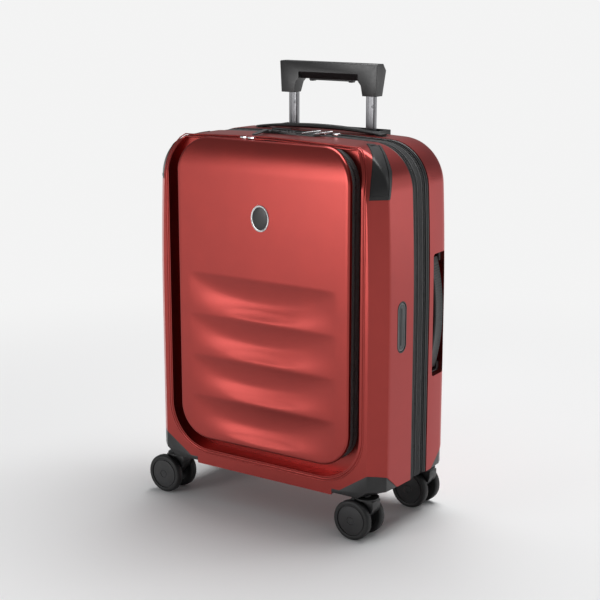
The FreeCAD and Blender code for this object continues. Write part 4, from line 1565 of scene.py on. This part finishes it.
@dataclass
class ZipLock:
    """The lock in the top: case, three dials, button and the two metal pulls that dock in it."""

    finishes: Finishes

    def pull(self, side: str) -> None:
        """One metal pull."""
        node = f"main_pull_{side}"
        copy_node(node, node + "_tab", (0.0006, 3), node, "bright_metal", self.finishes.chrome)

    def build(self) -> None:
        """Make the lock."""
        copy_node("lock_body", "lock_case", (0.0007, 2), "front_case", "black_plastic", self.finishes.black)
        for n in (1, 2, 3):
            node = f"lock_dial_{n}"
            copy_node(node, node + "_wheel", (0.0002, 1), node, "black_plastic", self.finishes.tagcard)
        copy_node("lock_button", "lock_button_cap", (0.0008, 3), "lock_button", "black_plastic",
                  self.finishes.satin)
        self.pull("left")
        self.pull("right")


# ---------------------------------------------------------------- casters


@dataclass
class Casters:
    """Four swivelling twin casters."""

    finishes: Finishes
    radius: float = 0.029
    hub: float = 0.0205
    bore: float = 0.00305
    shoulder: float = 0.0034
    cap_r: float = 0.0215

    def lathe(self, name: str, x: float, z: float, rows: Sequence[tuple[float, float]],
              sides: int = 72) -> bpy.types.Object:
        """A turned solid about an axis along Y, from (radius, y) points that start and end on the axis."""
        loops = [[Vector((x + max(r, 1e-7) * math.cos(a), y, z + max(r, 1e-7) * math.sin(a)))
                  for a in turns(sides)] for r, y in rows]
        return Bench.smooth(Bench.loft(name, loops, caps=False), 35)

    def wheel(self, corner: str, label: str) -> None:
        """One wheel: tyre, groove and domed cap, turned as one solid with two materials.

        Args:
            corner: the caster's corner.
            label: a on the front side of the caster, b on the rear side.
        """
        node = f"wheel_{corner}_{label}"
        low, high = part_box(node)
        x, z = (low[0] + high[0]) / 2, (low[2] + high[2]) / 2
        out = -1 if label == "a" else 1
        face, inner = (low[1], high[1]) if out < 0 else (high[1], low[1])
        r, s, curve = self.radius, -out, self.shoulder
        rows = [(0.0, face + s * 0.0012), (self.bore, face + s * 0.0012), (self.bore, inner),
                (0.0068, inner), (0.0070, inner + out * 0.0004), (0.0071, inner + out * 0.0015),
                (0.0189, inner + out * 0.0015), (0.0190, inner + out * 0.0004), (0.0193, inner),
                (0.0256, inner)]
        for n in range(1, 7):
            a = math.pi / 2 * n / 6
            rows.append((r - curve * (1 - math.sin(a)), inner + out * curve * (1 - math.cos(a))))
        for n in range(1, 7):
            a = math.pi / 2 * (1 - n / 6)
            rows.append((r - curve * (1 - math.sin(a)), face + s * curve * (1 - math.cos(a))))
        rows += [(0.0238, face), (0.0224, face + s * 0.0003), (0.0221, face + s * 0.0018),
                 (0.0209, face + s * 0.0018), (0.0206, face + s * 0.0009)]
        for n in range(1, 9):
            t = n / 8
            dome = 0.0009 * (1 - math.sin(t * math.pi / 2))
            rows.append((self.hub * (1 - t) + 0.0062 * t, face + s * dome))
        rows += [(0.0058, face + s * 0.0005), (0.005, face + s * 0.0005), (0.0046, face + s * 0.0001),
                 (0.0, face)]
        wheel = self.lathe(node + "_tyre", x, z, rows)
        Bench.dress(wheel, self.finishes.tyre, self.finishes.cap)
        for poly in wheel.data.polygons:
            reach = math.hypot(poly.center.x - x, poly.center.z - z)
            poly.material_index = 0 if reach > self.cap_r else 1
        finish_piece(wheel, node, "wheel_rubber", [], node)

    def fork(self, corner: str) -> None:
        """One fork with rounded edges."""
        node = f"fork_{corner}"
        copy_node(node, node + "_leg", (0.0012, 3), f"caster_{corner}", "caster_plastic",
                  self.finishes.caster)

    def build(self) -> None:
        """Make all four casters."""
        for corner in CORNERS:
            self.fork(corner)
            for label in ("a", "b"):
                self.wheel(corner, label)


# ---------------------------------------------------------------- studio


@dataclass
class Studio:
    """Pale floor, backdrop, soft lights and the camera."""

    camera_at: tuple[float, float, float] = (1.20004, -1.70676, 0.77898)
    look_at: tuple[float, float, float] = (0.0, 0.0, 0.275)
    lens: float = 87.54
    shift: tuple[float, float] = (0.0006, 0.0339)

    def light(self, name: str, at: Sequence[float], size: tuple[float, float], power: float) -> None:
        """One soft panel light aimed at the case."""
        lamp = bpy.data.lights.new(name, "AREA")
        lamp.shape = "RECTANGLE"
        lamp.size, lamp.size_y = size
        lamp.energy = power
        made = bpy.data.objects.new(name, lamp)
        made.location = at
        made.rotation_euler = (Vector(self.look_at) - Vector(at)).to_track_quat("-Z", "Y").to_euler()
        bpy.context.scene.collection.objects.link(made)

    def paper(self) -> bpy.types.Material:
        """Pale paper that takes the case's shadow near it and is evenly lit further out."""
        made = Shader("studio_paper")
        made.set(Roughness=0.9, Base_Color=(0.84, 0.84, 0.84, 1))
        reach = made.node("VectorMath", Vector=made.node("TexCoord").outputs["Object"])
        reach.operation = "LENGTH"
        far = made.node("MapRange", Value=reach.outputs["Value"], From_Min=0.3, From_Max=1.5)
        far.interpolation_type = "SMOOTHSTEP"
        light = made.node("Emission", Strength=0.9)
        mix = made.node("MixShader", Fac=far.outputs["Result"])
        made.tree.links.new(made.surface.outputs["BSDF"], mix.inputs[1])
        made.tree.links.new(light.outputs["Emission"], mix.inputs[2])
        made.tree.links.new(mix.outputs["Shader"], made.tree.nodes["Material Output"].inputs["Surface"])
        return made.material

    def air(self) -> None:
        """A dim even room for light and reflections, seen as white paper."""
        world = bpy.data.worlds.new("studio_air")
        bpy.context.scene.world = world
        world.use_nodes = True
        tree = world.node_tree
        room = tree.nodes["Background"]
        room.inputs["Color"].default_value = (0.96, 0.98, 1.0, 1)
        room.inputs["Strength"].default_value = 0.26
        paper = tree.nodes.new("ShaderNodeBackground")
        paper.inputs["Color"].default_value = (0.9, 0.9, 0.9, 1)
        choose = tree.nodes.new("ShaderNodeMixShader")
        path = tree.nodes.new("ShaderNodeLightPath")
        tree.links.new(path.outputs["Is Camera Ray"], choose.inputs["Fac"])
        tree.links.new(room.outputs["Background"], choose.inputs[1])
        tree.links.new(paper.outputs["Background"], choose.inputs[2])
        tree.links.new(choose.outputs["Shader"], tree.nodes["World Output"].inputs["Surface"])

    def build(self) -> None:
        """Make the studio."""
        Bench.clear()
        bpy.ops.mesh.primitive_plane_add(size=60)
        floor = bpy.context.object
        floor.name = "studio_floor"
        Bench.dress(floor, self.paper())
        self.air()
        self.light("key", (-0.85, -2.2, 0.55), (0.8, 0.9), 13)
        self.light("edge", (1.7, 2.1, 0.7), (0.22, 1.4), 3)
        self.light("top", (0.1, 0.7, 2.4), (2.2, 1.5), 56)
        bpy.context.scene.view_settings.view_transform = "Standard"
        camera = bpy.data.cameras.new("camera")
        camera.lens = self.lens
        camera.sensor_width = 36
        camera.shift_x, camera.shift_y = self.shift
        camera.clip_end = 50
        made_camera = bpy.data.objects.new("camera", camera)
        made_camera.location = self.camera_at
        look = Vector(self.look_at) - Vector(self.camera_at)
        made_camera.rotation_euler = look.to_track_quat("-Z", "Y").to_euler()
        bpy.context.scene.collection.objects.link(made_camera)
        bpy.context.scene.camera = made_camera


def dress_frame(finishes: Finishes) -> None:
    """Give the frame nodes that stay visible their finishes."""
    named = {"outer_tubes": finishes.alloy, "tube_foot": finishes.black}
    named.update({f"axle_{corner}": finishes.steel for corner in CORNERS})
    for node, material in named.items():
        mesh = bpy.data.objects[node].data
        mesh.materials.clear()
        mesh.materials.append(material)
        LOG.info("%s keeps its frame mesh", node)


def main() -> None:
    """Build every sub-assembly in order."""
    logging.basicConfig(level=logging.INFO, format="%(name)s: %(message)s")
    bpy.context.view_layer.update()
    Studio().build()
    finishes = Finishes()
    form = CaseForm()
    dress_frame(finishes)
    Casters(finishes).build()
    LongHandle(finishes).build()
    CarryHandles(finishes).build()
    ZipLock(finishes).build()
    Bands(finishes).build()
    FrontDoor(finishes).build()
    FrontCase(form, finishes).build()
    RearCase(form, finishes).build()


if __name__ == "__main__":
    main()
